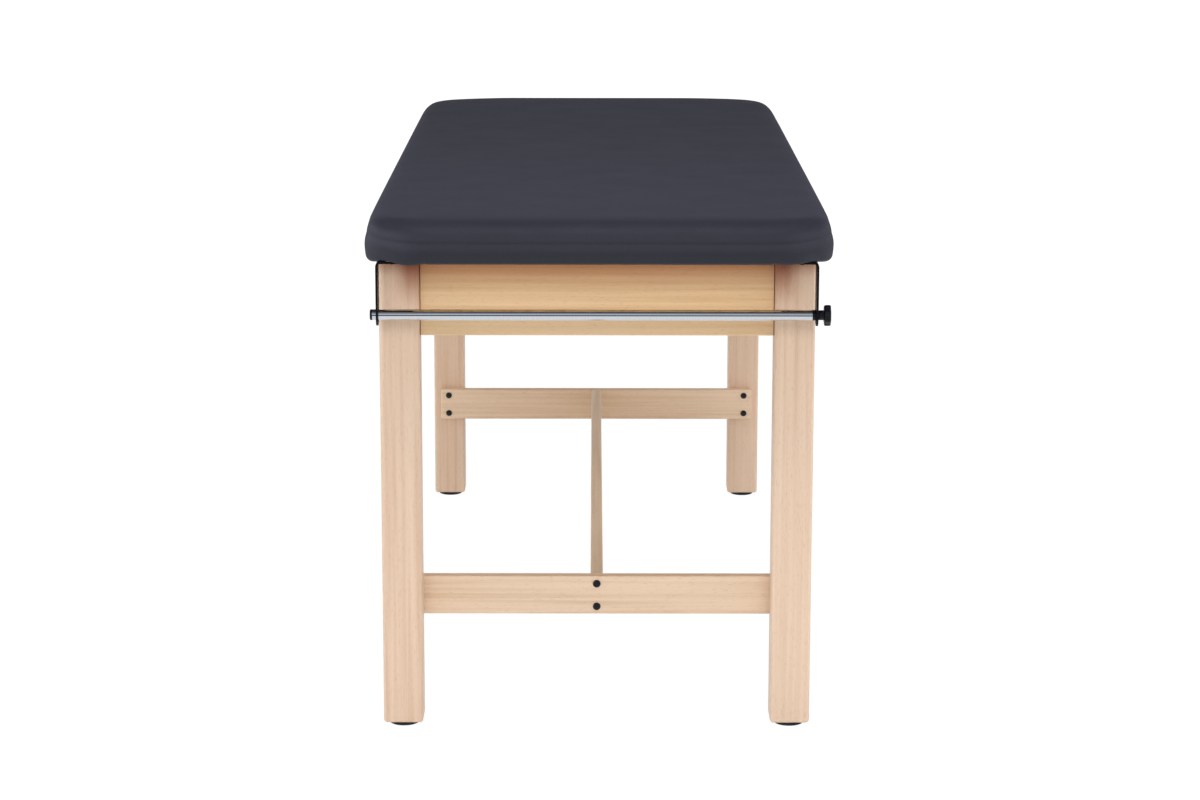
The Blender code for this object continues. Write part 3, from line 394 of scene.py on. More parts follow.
def polished_chrome():
    """Bright chrome plate on drawn tube: a mirror with very faint lines round it from polishing."""
    material, tree, shader = new_material("chrome_plate_polished")
    place = add_node(tree, "ShaderNodeTexCoord")
    lines = add_node(
        tree, "ShaderNodeMapping", None, {"Vector": place.outputs["Object"], "Scale": (900, 40, 40)}
    )
    wear = add_node(
        tree, "ShaderNodeTexNoise", None, {"Vector": lines.outputs[0], "Scale": 1.0, "Detail": 2.0}
    )
    gloss = add_node(
        tree, "ShaderNodeMapRange", None, {"Value": wear.outputs["Fac"], "To Min": 0.05, "To Max": 0.12}
    )
    tree.links.new(gloss.outputs[0], shader.inputs["Roughness"])
    tint = ramp(tree, wear.outputs["Fac"], ((0.3, "D3D6DA"), (0.7, "DEE0E3")))
    tree.links.new(tint, shader.inputs["Base Color"])
    shader.inputs["Metallic"].default_value = 1.0
    return material


# Beech by the way its grain runs: 0 across the table, 1 along it, 2 upright.
# The legs' and the end aprons' top ends carry painted shade of the pad's shadow; on the legs it reaches
# further down on their inner parts.
LEG_BEECH = beech(
    "beech_lacquered_legs", 2, "E3C9B2", "DDC1A9", "D1B196", 0.0, (UNDERSIDE, 38 * MM, "BC8B72", 290 * MM)
)
APRON_BEECH = beech(
    "beech_lacquered_aprons", 0, "E6C8A1", "E0BF94", "D5AE80", 3.7, (UNDERSIDE, 62 * MM, "D6A075")
)
SIDE_APRON_BEECH = beech("beech_lacquered_side_aprons", 1, "E9C99C", "DFBA8A", "CB9E6C", 9.1)
STRETCHER_BEECH = beech("beech_lacquered_stretchers", 0, "E8CFB6", "E1C7AC", "D4B495", 5.3)
# The brace's paler tone is partly its own wood and partly painted light, brightened against the shade the
# top casts on it.
BRACE_BEECH = beech("beech_lacquered_brace", 1, "EBDCC7", "E5D3BB", "D8C1A4", 7.9)
PLYWOOD = birch_plywood()
VINYL = upholstery_vinyl()
# Fine black powder coat over steel, with the slight orange peel of stoved powder.
POWDER_COAT = speckled("black_powder_coated_steel", "0B0B10", "121218", 1.2, 0.45, 0.0, 0.15, 0.12)
# Black oxide on socket screws: thin, oily and a little blue.
BLACK_OXIDE = speckled("black_oxide_steel", "101015", "1B1B21", 0.8, 0.34, 0.4)
# Injection-moulded black nylon with a fine spark-eroded texture.
NYLON = speckled("black_nylon_moulded", "0C0C12", "13131A", 0.9, 0.42, 0.0, 0.15, 0.3)
# Moulded black rubber, matt, with dust in its pores.
RUBBER = speckled("black_rubber_moulded", "0D0D0F", "18181A", 1.5, 0.78, 0.0, 0.4)
# Bright zinc plate with its faint crystalline mottle.
ZINC = speckled("zinc_plated_steel", "9EA1A4", "B9BBBD", 2.0, 0.3, 1.0)
CHROME = polished_chrome()


# Making pieces


def new_piece(name, bm, material, body, node_names, angle=35):
    """Finish a mesh as one shown piece that rides on a body and stands for CAD nodes."""
    bmesh.ops.recalc_face_normals(bm, faces=bm.faces)
    mesh = bpy.data.meshes.new(name)
    bm.to_mesh(mesh)
    bm.free()
    mesh.materials.append(material)
    mesh.shade_smooth()
    mesh.set_sharp_from_angle(angle=math.radians(angle))
    piece = bpy.data.objects.new(name, mesh)
    bpy.context.scene.collection.objects.link(piece)
    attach(piece, body)
    if node_names:
        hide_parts(*node_names)
    return piece


def slab(low, high):
    """A box between two corners."""
    bm = bmesh.new()
    bmesh.ops.create_cube(bm, size=1.0)
    bmesh.ops.scale(bm, vec=high - low, verts=bm.verts)
    bmesh.ops.translate(bm, vec=(low + high) / 2, verts=bm.verts)
    return bm


def edges_along(bm, axis):
    """The edges that lie along one axis."""
    found = []
    for edge in bm.edges:
        way = (edge.verts[1].co - edge.verts[0].co).normalized()
        if abs(way[axis]) > 0.999:
            found.append(edge)
    return found


def round_edges(bm, edges, radius, segments):
    """Round these edges."""
    bmesh.ops.bevel(
        bm, geom=edges, offset=radius, offset_type="OFFSET", segments=segments, profile=0.5,
        affect="EDGES", clamp_overlap=False, material=-1,
    )


def spun(outline, sides, closed):
    """Turn an outline of (radius, height) in millimetres about Z; closed joins its two ends."""
    bm = bmesh.new()
    verts = [bm.verts.new((radius * MM, 0, height * MM)) for radius, height in outline]
    edges = [bm.edges.new(pair) for pair in zip(verts, verts[1:])]
    if closed:
        edges.append(bm.edges.new((verts[-1], verts[0])))
    bmesh.ops.spin(
        bm, geom=verts + edges, cent=(0, 0, 0), axis=(0, 0, 1), angle=math.tau, steps=sides, use_merge=True
    )
    bmesh.ops.remove_doubles(bm, verts=bm.verts, dist=0.001 * MM)
    return bm


def turned(outline, place, way, sides):
    """Turn an outline about an axis through place along way; one that starts off the axis makes a ring."""
    bm = spun(outline, sides, outline[0][0] > 0)
    put(bm, place, way)
    return bm


def put(bm, place, way):
    """Carry a shape made on Z to its place and axis."""
    matrix = Matrix.Translation(Vector(place)) @ Vector(way).to_track_quat("Z", "Y").to_matrix().to_4x4()
    bmesh.ops.transform(bm, matrix=matrix, verts=bm.verts)


def quarter(radius, height, drop, reach, steps=ROUND_STEPS):
    """Points of a quarter round from (radius - reach, height) out and down to (radius, height - drop)."""
    points = []
    for step in range(steps + 1):
        turn = math.pi / 2 * step / steps
        points.append((radius - reach + reach * math.sin(turn), height - drop + drop * math.cos(turn)))
    return points


# The cushion


def grow(bm, face, inward, rise):
    """Inset a face evenly and move it along its normal."""
    bmesh.ops.inset_region(
        bm, faces=[face], use_boundary=True, use_even_offset=True, thickness=inward, depth=rise
    )


def stretch_face(bm, face, half_width, half_length, new_width, new_length, rise):
    """Extrude a face of the cushion and bring it to new half sizes."""
    made = bmesh.ops.extrude_discrete_faces(bm, faces=[face])["faces"][0]
    bmesh.ops.scale(bm, vec=(new_width / half_width, new_length / half_length, 1), verts=made.verts)
    bmesh.ops.translate(bm, vec=(0, 0, rise), verts=made.verts)
    return made


def shoulder_point(share):
    """Reach and height of the shoulder's round, 0 to 1, at a share of its turn, finer at both ends."""
    turn = math.pi / 2 * (0.5 - 0.5 * math.cos(math.pi * share))
    return max(0.0, math.cos(turn)) ** SHOULDER_POWER, math.sin(turn) ** SHOULDER_POWER


def bowed_side(bm, face, height):
    """Carry a face away from the widest line, up or down, along the side's bow."""
    for step in range(SIDE_STEPS):
        now, then = (BAND + (height - BAND) * s / SIDE_STEPS for s in (step, step + 1))
        grow(bm, face, (then ** 2 - now ** 2) / (2 * SIDE_BOW), then - now)


def round_over(bm, face, radius, steps):
    """Carry a face over a quarter round, inward and along its normal."""
    for step in range(steps):
        now, then = (math.pi / 2 * s / steps for s in (step, step + 1))
        inward = radius * (math.cos(now) - math.cos(then))
        grow(bm, face, inward, radius * (math.sin(then) - math.sin(now)))


def cushion_form():
    """The flat-topped pad with its border folded under and a well for the deck."""
    bm = bmesh.new()
    bmesh.ops.create_grid(bm, x_segments=1, y_segments=1, size=1.0)
    low = Vector((0, 0, UNDERSIDE + WIDEST - BAND))
    plan = Matrix.Translation(low) @ Matrix.Diagonal((HALF_WIDTH, HALF_LENGTH, 1, 1))
    bmesh.ops.transform(bm, matrix=plan, verts=bm.verts)
    bmesh.ops.bevel(
        bm, geom=bm.verts[:], offset=PLAN_RADIUS, offset_type="OFFSET", segments=PLAN_SEGMENTS, profile=0.5,
        affect="VERTICES", clamp_overlap=False, material=-1,
    )
    long_edges = [edge for edge in edges_along(bm, 1) if edge.calc_length() > HALF_LENGTH]
    bmesh.ops.bisect_edges(bm, edges=long_edges, cuts=LONG_CUTS)
    short_edges = [edge for edge in edges_along(bm, 0) if edge.calc_length() > HALF_WIDTH]
    bmesh.ops.bisect_edges(bm, edges=short_edges, cuts=SHORT_CUTS)
    lower = bm.faces[:][0]
    made = bmesh.ops.extrude_face_region(bm, geom=[lower], use_keep_orig=True)["geom"]
    upper = next(item for item in made if isinstance(item, bmesh.types.BMFace))
    bmesh.ops.translate(bm, vec=(0, 0, 2 * BAND), verts=upper.verts)
    bmesh.ops.recalc_face_normals(bm, faces=bm.faces)
    bowed_side(bm, upper, SIDE_HEIGHT - WIDEST)
    bowed_side(bm, lower, WIDEST - FOLD_RADIUS)
    rise = CROWN - CROWN_RISE - UNDERSIDE - SIDE_HEIGHT
    now = (1.0, 0.0)
    for step in range(SHOULDER_STEPS):
        then = shoulder_point((step + 1) / SHOULDER_STEPS)
        grow(bm, upper, SHOULDER_REACH * (now[0] - then[0]), rise * (then[1] - now[1]))
        now = then
    wide, long = HALF_WIDTH - SHOULDER_REACH, HALF_LENGTH - SHOULDER_REACH
    for step in range(CROWN_STEPS):
        share, after = step / CROWN_STEPS, (step + 1) / CROWN_STEPS
        inward = CROWN_REACH * (after - share)
        gain = CROWN_RISE * ((1 - (1 - after) ** 2) - (1 - (1 - share) ** 2))
        upper = stretch_face(bm, upper, wide, long, wide - inward, long - inward, gain)
        wide -= inward
        long -= inward
    round_over(bm, lower, FOLD_RADIUS, FOLD_STEPS)
    for _ in range(BORDER_STEPS):
        grow(bm, lower, BORDER_WIDTH / BORDER_STEPS, 0)
    wide, long = HALF_WIDTH - FOLD_RADIUS - BORDER_WIDTH, HALF_LENGTH - FOLD_RADIUS - BORDER_WIDTH
    lower = stretch_face(bm, lower, wide, long, wide, long, VINYL_THICKNESS)
    well = (DECK_HIGH.x + SEAT_GAP, DECK_HIGH.y + SEAT_GAP)
    lower = stretch_face(bm, lower, wide, long, *well, 0)
    stretch_face(bm, lower, *well, *well, DECK_HIGH.z + SEAT_GAP - UNDERSIDE - VINYL_THICKNESS)
    return bm


def corner_turn(place):
    """How far round its corner a point lies, 0 to 1, and how far it lies inside the corner's round."""
    over_x = abs(place.x) - (HALF_WIDTH - PLAN_RADIUS)
    over_y = abs(place.y) - (HALF_LENGTH - PLAN_RADIUS)
    if over_x <= 0 or over_y <= 0:
        return 0.0, PLAN_RADIUS
    return math.atan2(over_y, over_x) / (math.pi / 2), PLAN_RADIUS - math.hypot(over_x, over_y)


def hump(value, centre, width):
    """A smooth hump, 1 at its centre and 0 from its width on."""
    away = min(1.0, abs(value - centre) / width)
    return 0.5 + 0.5 * math.cos(math.pi * away)


def humps(value, rows):
    """The sum of several humps, each a strength, a centre and a width."""
    return sum(strength * hump(value, centre, width) for strength, centre, width in rows)


def sink_ends(vert, place, height):
    """The ends and the rear corners sink, the end faces bow, and the corners' shoulders are softer."""
    fade = min(1.0, (height - WIDEST) / DROP_FADE)
    past = max(0.0, abs(place.y) - HALF_LENGTH + END_REACH) / END_REACH
    drop = END_DROP * (1 if place.y < 0 else REAR_SHARE) * past ** 1.5
    vert.co.z -= drop * fade
    if place.y > 0:
        outer = max(0.0, abs(place.x) / HALF_WIDTH - CORNER_START) / (1 - CORNER_START)
        rear = min(1.0, max(0.0, place.y - HALF_LENGTH + REAR_DROP_REACH) / REAR_DROP_REACH)
        drop = REAR_DROP * (REAR_DROP_RIGHT_SHARE if place.x > 0 else 1.0) * outer ** 1.6 * rear ** 1.3
        vert.co.z -= drop * fade
    lean = (min(height, SIDE_HEIGHT) - BOW_FOOT) ** 2 / END_BOW * past ** 2
    vert.co.y -= math.copysign(lean, place.y)
    near = min(1.0, max(0.0, abs(place.y) - HALF_LENGTH + SOFT_REACH) / PLAN_RADIUS)
    soft = SOFTENING * near * hump(height, SOFT_HEIGHT, SOFT_SPREAD)
    vert.co.x -= math.copysign(soft * (abs(place.x) / HALF_WIDTH) ** 6, place.x)


def gather(vert, place, height, low):
    """Tucks and bags round a corner, strongest low down; the right corners' bags are smaller."""
    turn, inside = corner_turn(place)
    way = Vector((math.copysign(math.cos(turn * math.pi / 2), place.x),
                  math.copysign(math.sin(turn * math.pi / 2), place.y), 0))
    tuck = humps(turn, TUCKS)
    bag = humps(turn, RIGHT_BAGS if place.x > 0 else LEFT_BAGS) * (1.0 if place.y < 0 else REAR_SHARE)
    vert.co += way * (BAG_OUT * bag - TUCK_IN * tuck) * low ** 2
    foot = max(0.0, 1 - height / GATHER_HEIGHT) * max(0.0, 1 - max(0.0, inside - FOLD_RADIUS) / GATHER_DEPTH)
    if height > -SEAT_GAP:
        vert.co.z += (TUCK_UP * tuck - BAG_DOWN * bag) * foot


def staple_pull(vert, place, low):
    """The side is drawn in at each staple, more at some than at others."""
    across = abs(place.x) / HALF_WIDTH > abs(place.y) / HALF_LENGTH
    along = place.y if across else place.x
    pull = 0.5 + 0.5 * math.cos(math.tau * along / STAPLE_STEP)
    pull *= 0.35 + 0.65 * noise.noise(Vector((along * 9, 3.1, 0.7)))
    side = (math.copysign(1, place.x), 0, 0) if across else (0, math.copysign(1, place.y), 0)
    vert.co -= Vector(side) * STAPLE_PULL * pull * low


def settle(bm):
    """Gathers at the corners, the pull of the staples along the sides and the foam's slow waves."""
    for vert in bm.verts:
        place = vert.co.copy()
        height = place.z - UNDERSIDE
        rim = max(abs(place.x) / HALF_WIDTH, abs(place.y) / HALF_LENGTH)
        if rim < RIM_SHARE and height < SIDE_HEIGHT:
            continue
        turn, inside = corner_turn(place)
        low = max(0.0, 1 - height / SIDE_HEIGHT)
        bow = LONG_BOW * (1 - (place.y / HALF_LENGTH) ** 6) * (abs(place.x) / HALF_WIDTH) ** 3
        vert.co.x += ASIDE + math.copysign(bow, place.x)
        if height > WIDEST:
            sink_ends(vert, place, height)
        if height >= TOP_FOOT:
            wave = noise.noise(Vector((place.x * 5, place.y * 4, 1.7)))
            vert.co.z -= FOAM_WAVE * (0.5 + 0.5 * wave)
        elif 0 < turn < 1 and inside < PLAN_RADIUS:
            gather(vert, place, height, low)
        elif rim > SIDE_SHARE and height < SIDE_HEIGHT:
            staple_pull(vert, place, low)


def cushion():
    """The whole upholstered pad, which stands for the cover and the foam."""
    bm = cushion_form()
    settle(bm)
    piece = new_piece("upholstered_pad", bm, VINYL, "frame", ("vinyl_cover", "foam_pad"), 60)


def staples():
    """Wire staples along the folded border, left out where the legs and the brackets press on it."""
    bm = bmesh.new()
    inset = FOLD_RADIUS + STAPLE_INSET
    spots = []
    run = HALF_LENGTH - PLAN_RADIUS
    count = int(2 * run / STAPLE_STEP)
    for step in range(count + 1):
        along = -run + 2 * run * step / count
        if not (LEG_ZONE[0] < abs(along) < LEG_ZONE[1] or along < FLANGE_ZONE):
            for sign in (-1, 1):
                spots.append((sign * (HALF_WIDTH - inset), along, math.pi / 2))
    run = HALF_WIDTH - PLAN_RADIUS
    count = int(2 * run / STAPLE_STEP)
    for step in range(count + 1):
        along = -run + 2 * run * step / count
        for sign in (-1, 1):
            spots.append((along, sign * (HALF_LENGTH - inset), 0))
    for x, y, turn in spots:
        place = Matrix.Translation((x, y, UNDERSIDE - STAPLE_SINK)) @ Matrix.Rotation(turn, 4, "Z")
        bmesh.ops.create_cube(bm, size=1.0, matrix=place @ Matrix.Diagonal((*STAPLE_SIZE, 1)))
    new_piece("border_staples", bm, ZINC, "frame", ())


# The frame


def legs():
    """Square posts with softly rounded edges; the upper ends stay square against the top."""
    for end in ("front", "rear"):
        for side in ("left", "right"):
            node = f"{end}_{side}_leg"
            low, high = (Vector(corner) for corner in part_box(node))
            bm = slab(low, high)
            round_edges(bm, edges_along(bm, 2), LEG_EDGE, LEG_EDGE_STEPS)
            bottom = min(bm.faces, key=lambda face: face.calc_center_median().z)
            round_edges(bm, list(bottom.edges), LEG_FOOT_EDGE, ROUND_STEPS)
            new_piece(f"{node}_post", bm, LEG_BEECH, "frame", (node,))


def joint_lines():
    """The dark line where each end apron meets its legs: a glue line, and painted shade of the joint's
    shadow gap.
    """
    material, _, shader = new_material("glue_line_and_painted_shade")
    # Its dark colour is a glue line and painted shade where the joint's shadow falls.
    shader.inputs["Base Color"].default_value = colour("4A2A1C")
    shader.inputs["Roughness"].default_value = 0.7
    for end, sign in (("front", -1), ("rear", 1)):
        bm = bmesh.new()
        apron_low, apron_high = (Vector(corner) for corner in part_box(f"{end}_apron"))
        face = apron_low.y if sign < 0 else apron_high.y
        for side in ("left", "right"):
            leg_low, leg_high = (Vector(corner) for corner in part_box(f"{end}_{side}_leg"))
            inner = leg_high.x if side == "left" else leg_low.x
            inward = 1 if side == "left" else -1
            size = Vector((LINE_WIDTH, LINE_DEPTH, apron_high.z - apron_low.z - LINE_DEPTH))
            height = (apron_low.z + apron_high.z) / 2
            middle = Vector((inner + inward * size.x / 2, face - sign * LINE_SINK, height))
            place = Matrix.Translation(middle) @ Matrix.Diagonal((*size, 1))
            bmesh.ops.create_cube(bm, size=1.0, matrix=place)
        new_piece(f"{end}_joint_lines", bm, material, "frame", ())


def feet():
    """Low rubber feet with a moulded dish below and a stem up into the leg."""
    for end in ("front", "rear"):
        for side in ("left", "right"):
            node = f"{end}_{side}_foot"
            low, high = (Vector(corner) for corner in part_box(node))
            place = ((low.x + high.x) / 2, (low.y + high.y) / 2, 0)
            turns = [math.pi / 2 * step / FOOT_EDGE_STEPS for step in range(FOOT_EDGE_STEPS + 1)]
            rim = [(FOOT_RADIUS - FOOT_EDGE * (1 - math.cos(turn)), FOOT_EDGE * (1 - math.sin(turn)))
                   for turn in turns]
            outline = [(0, 28.4), (4, 28.4), (5, 27.4), (5, 6.5), (22.4, 6.5), (FOOT_RADIUS, 6.0)] + rim
            outline += [(8, 0), (7.4, 0.4), (7, 2), (0, 2)]
            bm = turned(outline, place, (0, 0, 1), 64)
            new_piece(f"{node}_pad", bm, RUBBER, "frame", (node,))


def hex_socket(bm, rim, across, depth):
    """Close a round opening with a hexagonal socket."""
    count = len(rim)
    hexagon = bmesh.ops.create_circle(bm, cap_ends=False, segments=count, radius=across / 2)["verts"]
    top = rim[0].co.z
    for vert in hexagon:
        around = math.atan2(vert.co.y, vert.co.x) % (math.pi / 3) - math.pi / 6
        vert.co *= 1 / math.cos(around)
        vert.co.z = top
    ring = [edge for edge in bm.edges if all(v in hexagon for v in edge.verts)]
    outer = [edge for edge in bm.edges if all(v in rim for v in edge.verts) and len(edge.link_faces) == 1]
    bmesh.ops.bridge_loops(bm, edges=ring + outer)
    grown = bmesh.ops.extrude_edge_only(bm, edges=ring)["geom"]
    verts = [item for item in grown if isinstance(item, bmesh.types.BMVert)]
    bmesh.ops.translate(bm, vec=(0, 0, -depth), verts=verts)
    edges = [item for item in grown if isinstance(item, bmesh.types.BMEdge)]
    floor_edges = [edge for edge in edges if all(v in verts for v in edge.verts)]
    bmesh.ops.contextual_create(bm, geom=floor_edges)


def button_screw(name, node, place, way, length):
    """A black button-head socket screw."""
    outline = [(2.9, SOCKET_RIM), (3.3, 3.05)] + quarter(6, 3.0, 2.7, 2.7, 8)[1:]
    outline += [(6, 0), (3, 0), (3, -length), (0, -length)]
    bm = spun(outline, 36, False)
    rim = [vert for vert in bm.verts if abs(vert.co.z - SOCKET_RIM * MM) < 0.01 * MM]
    hex_socket(bm, rim, 4 * MM, 2 * MM)
    put(bm, place, way)
    new_piece(name, bm, BLACK_OXIDE, "frame", (node,))


def brace_screws():
    """All the screws of the H-brace, each where its node is."""
    for node in sorted(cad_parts):
        if "leg_screw" not in node and "brace_screw" not in node:
            continue
        low, high = (Vector(corner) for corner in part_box(node))
        rear = node.startswith("rear")
        heads_out = "brace_screw" in node
        way = (1 if rear else -1) * (1 if heads_out else -1)
        head = high.y if way > 0 else low.y
        seat = head - way * SCREW_HEAD * MM
        length = (high.y - low.y) / MM - SCREW_HEAD
        place = ((low.x + high.x) / 2, seat, (low.z + high.z) / 2)
        button_screw(f"{node}_turned", node, place, (0, way, 0), length)


# The paper-roll holder


def roll_rod():
    """The chromed tube, its cap and its collar, with softened rims."""
    low, high = (Vector(corner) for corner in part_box("roll_rod"))
    axis_y, axis_z = (low.y + high.y) / 2, (low.z + high.z) / 2
    half = (high.x - low.x) / 2 / MM
    rim = [(6.5, half), (7.7, half), (7.92, half - 0.1), (8, half - 0.3), (8, half - 0.8)]
    outline = rim + [(radius, -height) for radius, height in reversed(rim)]
    bm = turned(outline, ((low.x + high.x) / 2, axis_y, axis_z), (1, 0, 0), 96)
    new_piece("chromed_tube", bm, CHROME, "rod", ("roll_rod",), 50)
    seat = low.x - SEAT_GAP
    outline = [(0, 3.2)] + quarter(8, 3.2, 1.2, 1.6) + [(8, 0), (6.2, 0), (6.2, -22), (0, -22)]
    bm = turned(outline, (seat, axis_y, axis_z), (-1, 0, 0), 64)
    new_piece("tube_end_cap", bm, NYLON, "rod", ("rod_end_cap",))
    seat = high.x + SEAT_GAP
    outline = [(4.3, 4.4), (7.4, 4.4), (7.8, 4.0), (7.8, 0), (6.2, 0), (6.2, -22), (4.3, -22)]
    bm = turned(outline, (seat, axis_y, axis_z), (1, 0, 0), 64)
    new_piece("tube_insert", bm, NYLON, "rod", ("rod_threaded_insert",))


def knob():
    """The fluted clamping knob, its neck and its washer."""
    low, high = (Vector(corner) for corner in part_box("clamp_knob"))
    axis_y, axis_z = (low.y + high.y) / 2, (low.z + high.z) / 2
    radius, edge = KNOB_RADIUS * MM, KNOB_EDGE * MM
    bm = bmesh.new()
    bmesh.ops.create_cone(
        bm, cap_ends=True, segments=140, radius1=radius, radius2=radius, depth=KNOB_DEPTH * MM - 2 * edge
    )
    for vert in bm.verts:
        dip = KNOB_DIP * MM * (1 - math.cos(KNOB_FLUTES * math.atan2(vert.co.y, vert.co.x))) / 2
        share = (radius - dip) / radius
        vert.co.x *= share
        vert.co.y *= share
    upper = max(bm.faces, key=lambda face: face.calc_center_median().z)
    lower = min(bm.faces, key=lambda face: face.calc_center_median().z)
    for face in (upper, lower):
        round_over(bm, face, edge, ROUND_STEPS)
    bmesh.ops.translate(bm, vec=(0, 0, (KNOB_START + KNOB_DEPTH / 2) * MM), verts=bm.verts)
    put(bm, (low.x, axis_y, axis_z), (1, 0, 0))
    new_piece("knob_head", bm, NYLON, "knob", ("clamp_knob",))
    outline = [(4.3, 0), (6.9, 0), (7.35, 0.4), (7.35, 7.6), (4.3, 7.6)][::-1]
    bm = turned(outline, (low.x, axis_y, axis_z), (1, 0, 0), 64)
    new_piece("knob_neck", bm, NYLON, "knob", ())
    low, high = (Vector(corner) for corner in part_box("knob_washer"))
    thick = (high.x - low.x) / MM
    outline = [(4.3, thick), (7.0, thick), (7.2, thick - 0.2), (7.2, 0.2), (7.0, 0), (4.3, 0)]
    bm = turned(outline, (low.x, axis_y, axis_z), (1, 0, 0), 64)
    new_piece("nylon_washer", bm, NYLON, "washer", ("knob_washer",))


def stud():
    """The knob's M8 stud, with a ridge at each pitch of its thread."""
    low, high = (Vector(corner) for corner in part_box("knob_stud"))
    axis_y, axis_z = (low.y + high.y) / 2, (low.z + high.z) / 2
    length = (high.x - low.x) / MM
    outline = [(0, length), (3.2, length)]
    height = length - 0.6
    while height > 0.8:
        outline += [(STUD_CREST, height), (STUD_ROOT, height - 0.62)]
        height -= STUD_PITCH
    outline += [(3.2, 0), (0, 0)]
    bm = turned(outline, (low.x, axis_y, axis_z), (1, 0, 0), 36)
    new_piece("threaded_stud", bm, ZINC, "knob", ("knob_stud",), 20)


def repaint():
    """Give the nodes that stay as they are their material."""
    for name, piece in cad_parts.items():
        if name in ("front_apron", "rear_apron"):
            material = APRON_BEECH
        elif name.endswith("side_apron"):
            material = SIDE_APRON_BEECH
        elif name.endswith("stretcher") or "corner_block" in name or name == "deck_cross_rail":
            material = STRETCHER_BEECH
        elif name == "long_brace":
            material = BRACE_BEECH
        elif name == "deck_board":
            material = PLYWOOD
        elif "roll_bracket" in name:
            material = POWDER_COAT
        elif "bracket_screw" in name:
            material = BLACK_OXIDE
        elif "bolt" in name or "deck_screw" in name or "barrel" in name:
            material = ZINC
        else:
            continue
        for place in piece.material_slots:
            place.material = material
        if not piece.material_slots:
            piece.data.materials.append(material)


# The studio


def plain_range(tree, value, start, end):
    """0 at the start and 1 at the end, straight between them."""
    return add_node(
        tree, "ShaderNodeMapRange", None, {"Value": value, "From Min": start, "From Max": end}
    ).outputs[0]


def floor():
    """A pale floor with a soft shadow: white to the camera, dark in gloss further out, clear from below."""
    bm = bmesh.new()
    bmesh.ops.create_grid(bm, x_segments=1, y_segments=1, size=30)
    mesh = bpy.data.meshes.new("studio_floor")
    bm.to_mesh(mesh)
    bm.free()
    material, tree, shader = new_material("painted_floor_white")
    shader.inputs["Base Color"].default_value = colour("F4F4F2")
    shader.inputs["Roughness"].default_value = 0.9
    shader.inputs["Specular IOR Level"].default_value = 0.0
    rays = add_node(tree, "ShaderNodeLightPath")
    white = add_node(tree, "ShaderNodeEmission", None, {"Color": (1, 1, 1, 1), "Strength": FLOOR_GLOW})
    place = add_node(tree, "ShaderNodeTexCoord")
    away = add_node(tree, "ShaderNodeVectorMath", {"operation": "LENGTH"}, {0: place.outputs["Object"]})
    edge = plain_range(tree, away.outputs["Value"], *FLOOR_FADE)
    far = plain_range(tree, away.outputs["Value"], *GLOSS_FADE)
    tone = ramp(tree, far, ((0.0, "E4E7EA"), (1.0, "1C1F2A")))
    parts = add_node(tree, "ShaderNodeSeparateXYZ", None, {"Vector": place.outputs["Object"]})
    aside = add_node(tree, "ShaderNodeMath", {"operation": "ABSOLUTE"}, {0: parts.outputs["X"]})
    wing = plain_range(tree, aside.outputs[0], *WING_FADE)
    tone = add_node(
        tree, "ShaderNodeMix", {"data_type": "RGBA"}, {"Factor": wing, 6: tone, 7: colour("8A9098")}
    ).outputs[2]
    mirrored = add_node(tree, "ShaderNodeEmission", None, {"Color": tone, "Strength": 1.15})
    seen = add_node(
        tree, "ShaderNodeMath", {"operation": "ADD", "use_clamp": True},
        {0: rays.outputs["Is Camera Ray"], 1: rays.outputs["Is Transmission Ray"]},
    )
    near = add_node(tree, "ShaderNodeMapRange", None, {"Value": edge, "To Min": FLOOR_SHARE, "To Max": 1.0})
    share = add_node(
        tree, "ShaderNodeMath", {"operation": "MULTIPLY"}, {0: seen.outputs[0], 1: near.outputs[0]}
    )
    plain = add_node(
        tree, "ShaderNodeMixShader", None, {0: share.outputs[0], 1: shader.outputs[0], 2: white.outputs[0]}
    )
    mixed = add_node(
        tree, "ShaderNodeMixShader", None,
        {0: rays.outputs["Is Glossy Ray"], 1: plain.outputs[0], 2: mirrored.outputs[0]},
    )
    side = add_node(tree, "ShaderNodeNewGeometry")
    clear = add_node(tree, "ShaderNodeBsdfTransparent")
    shown = add_node(
        tree, "ShaderNodeMixShader", None,
        {0: side.outputs["Backfacing"], 1: mixed.outputs[0], 2: clear.outputs[0]},
    )
    tree.links.new(shown.outputs[0], tree.nodes["Material Output"].inputs["Surface"])
    mesh.materials.append(material)
    ground = bpy.data.objects.new("studio_floor", mesh)
    bpy.context.scene.collection.objects.link(ground)


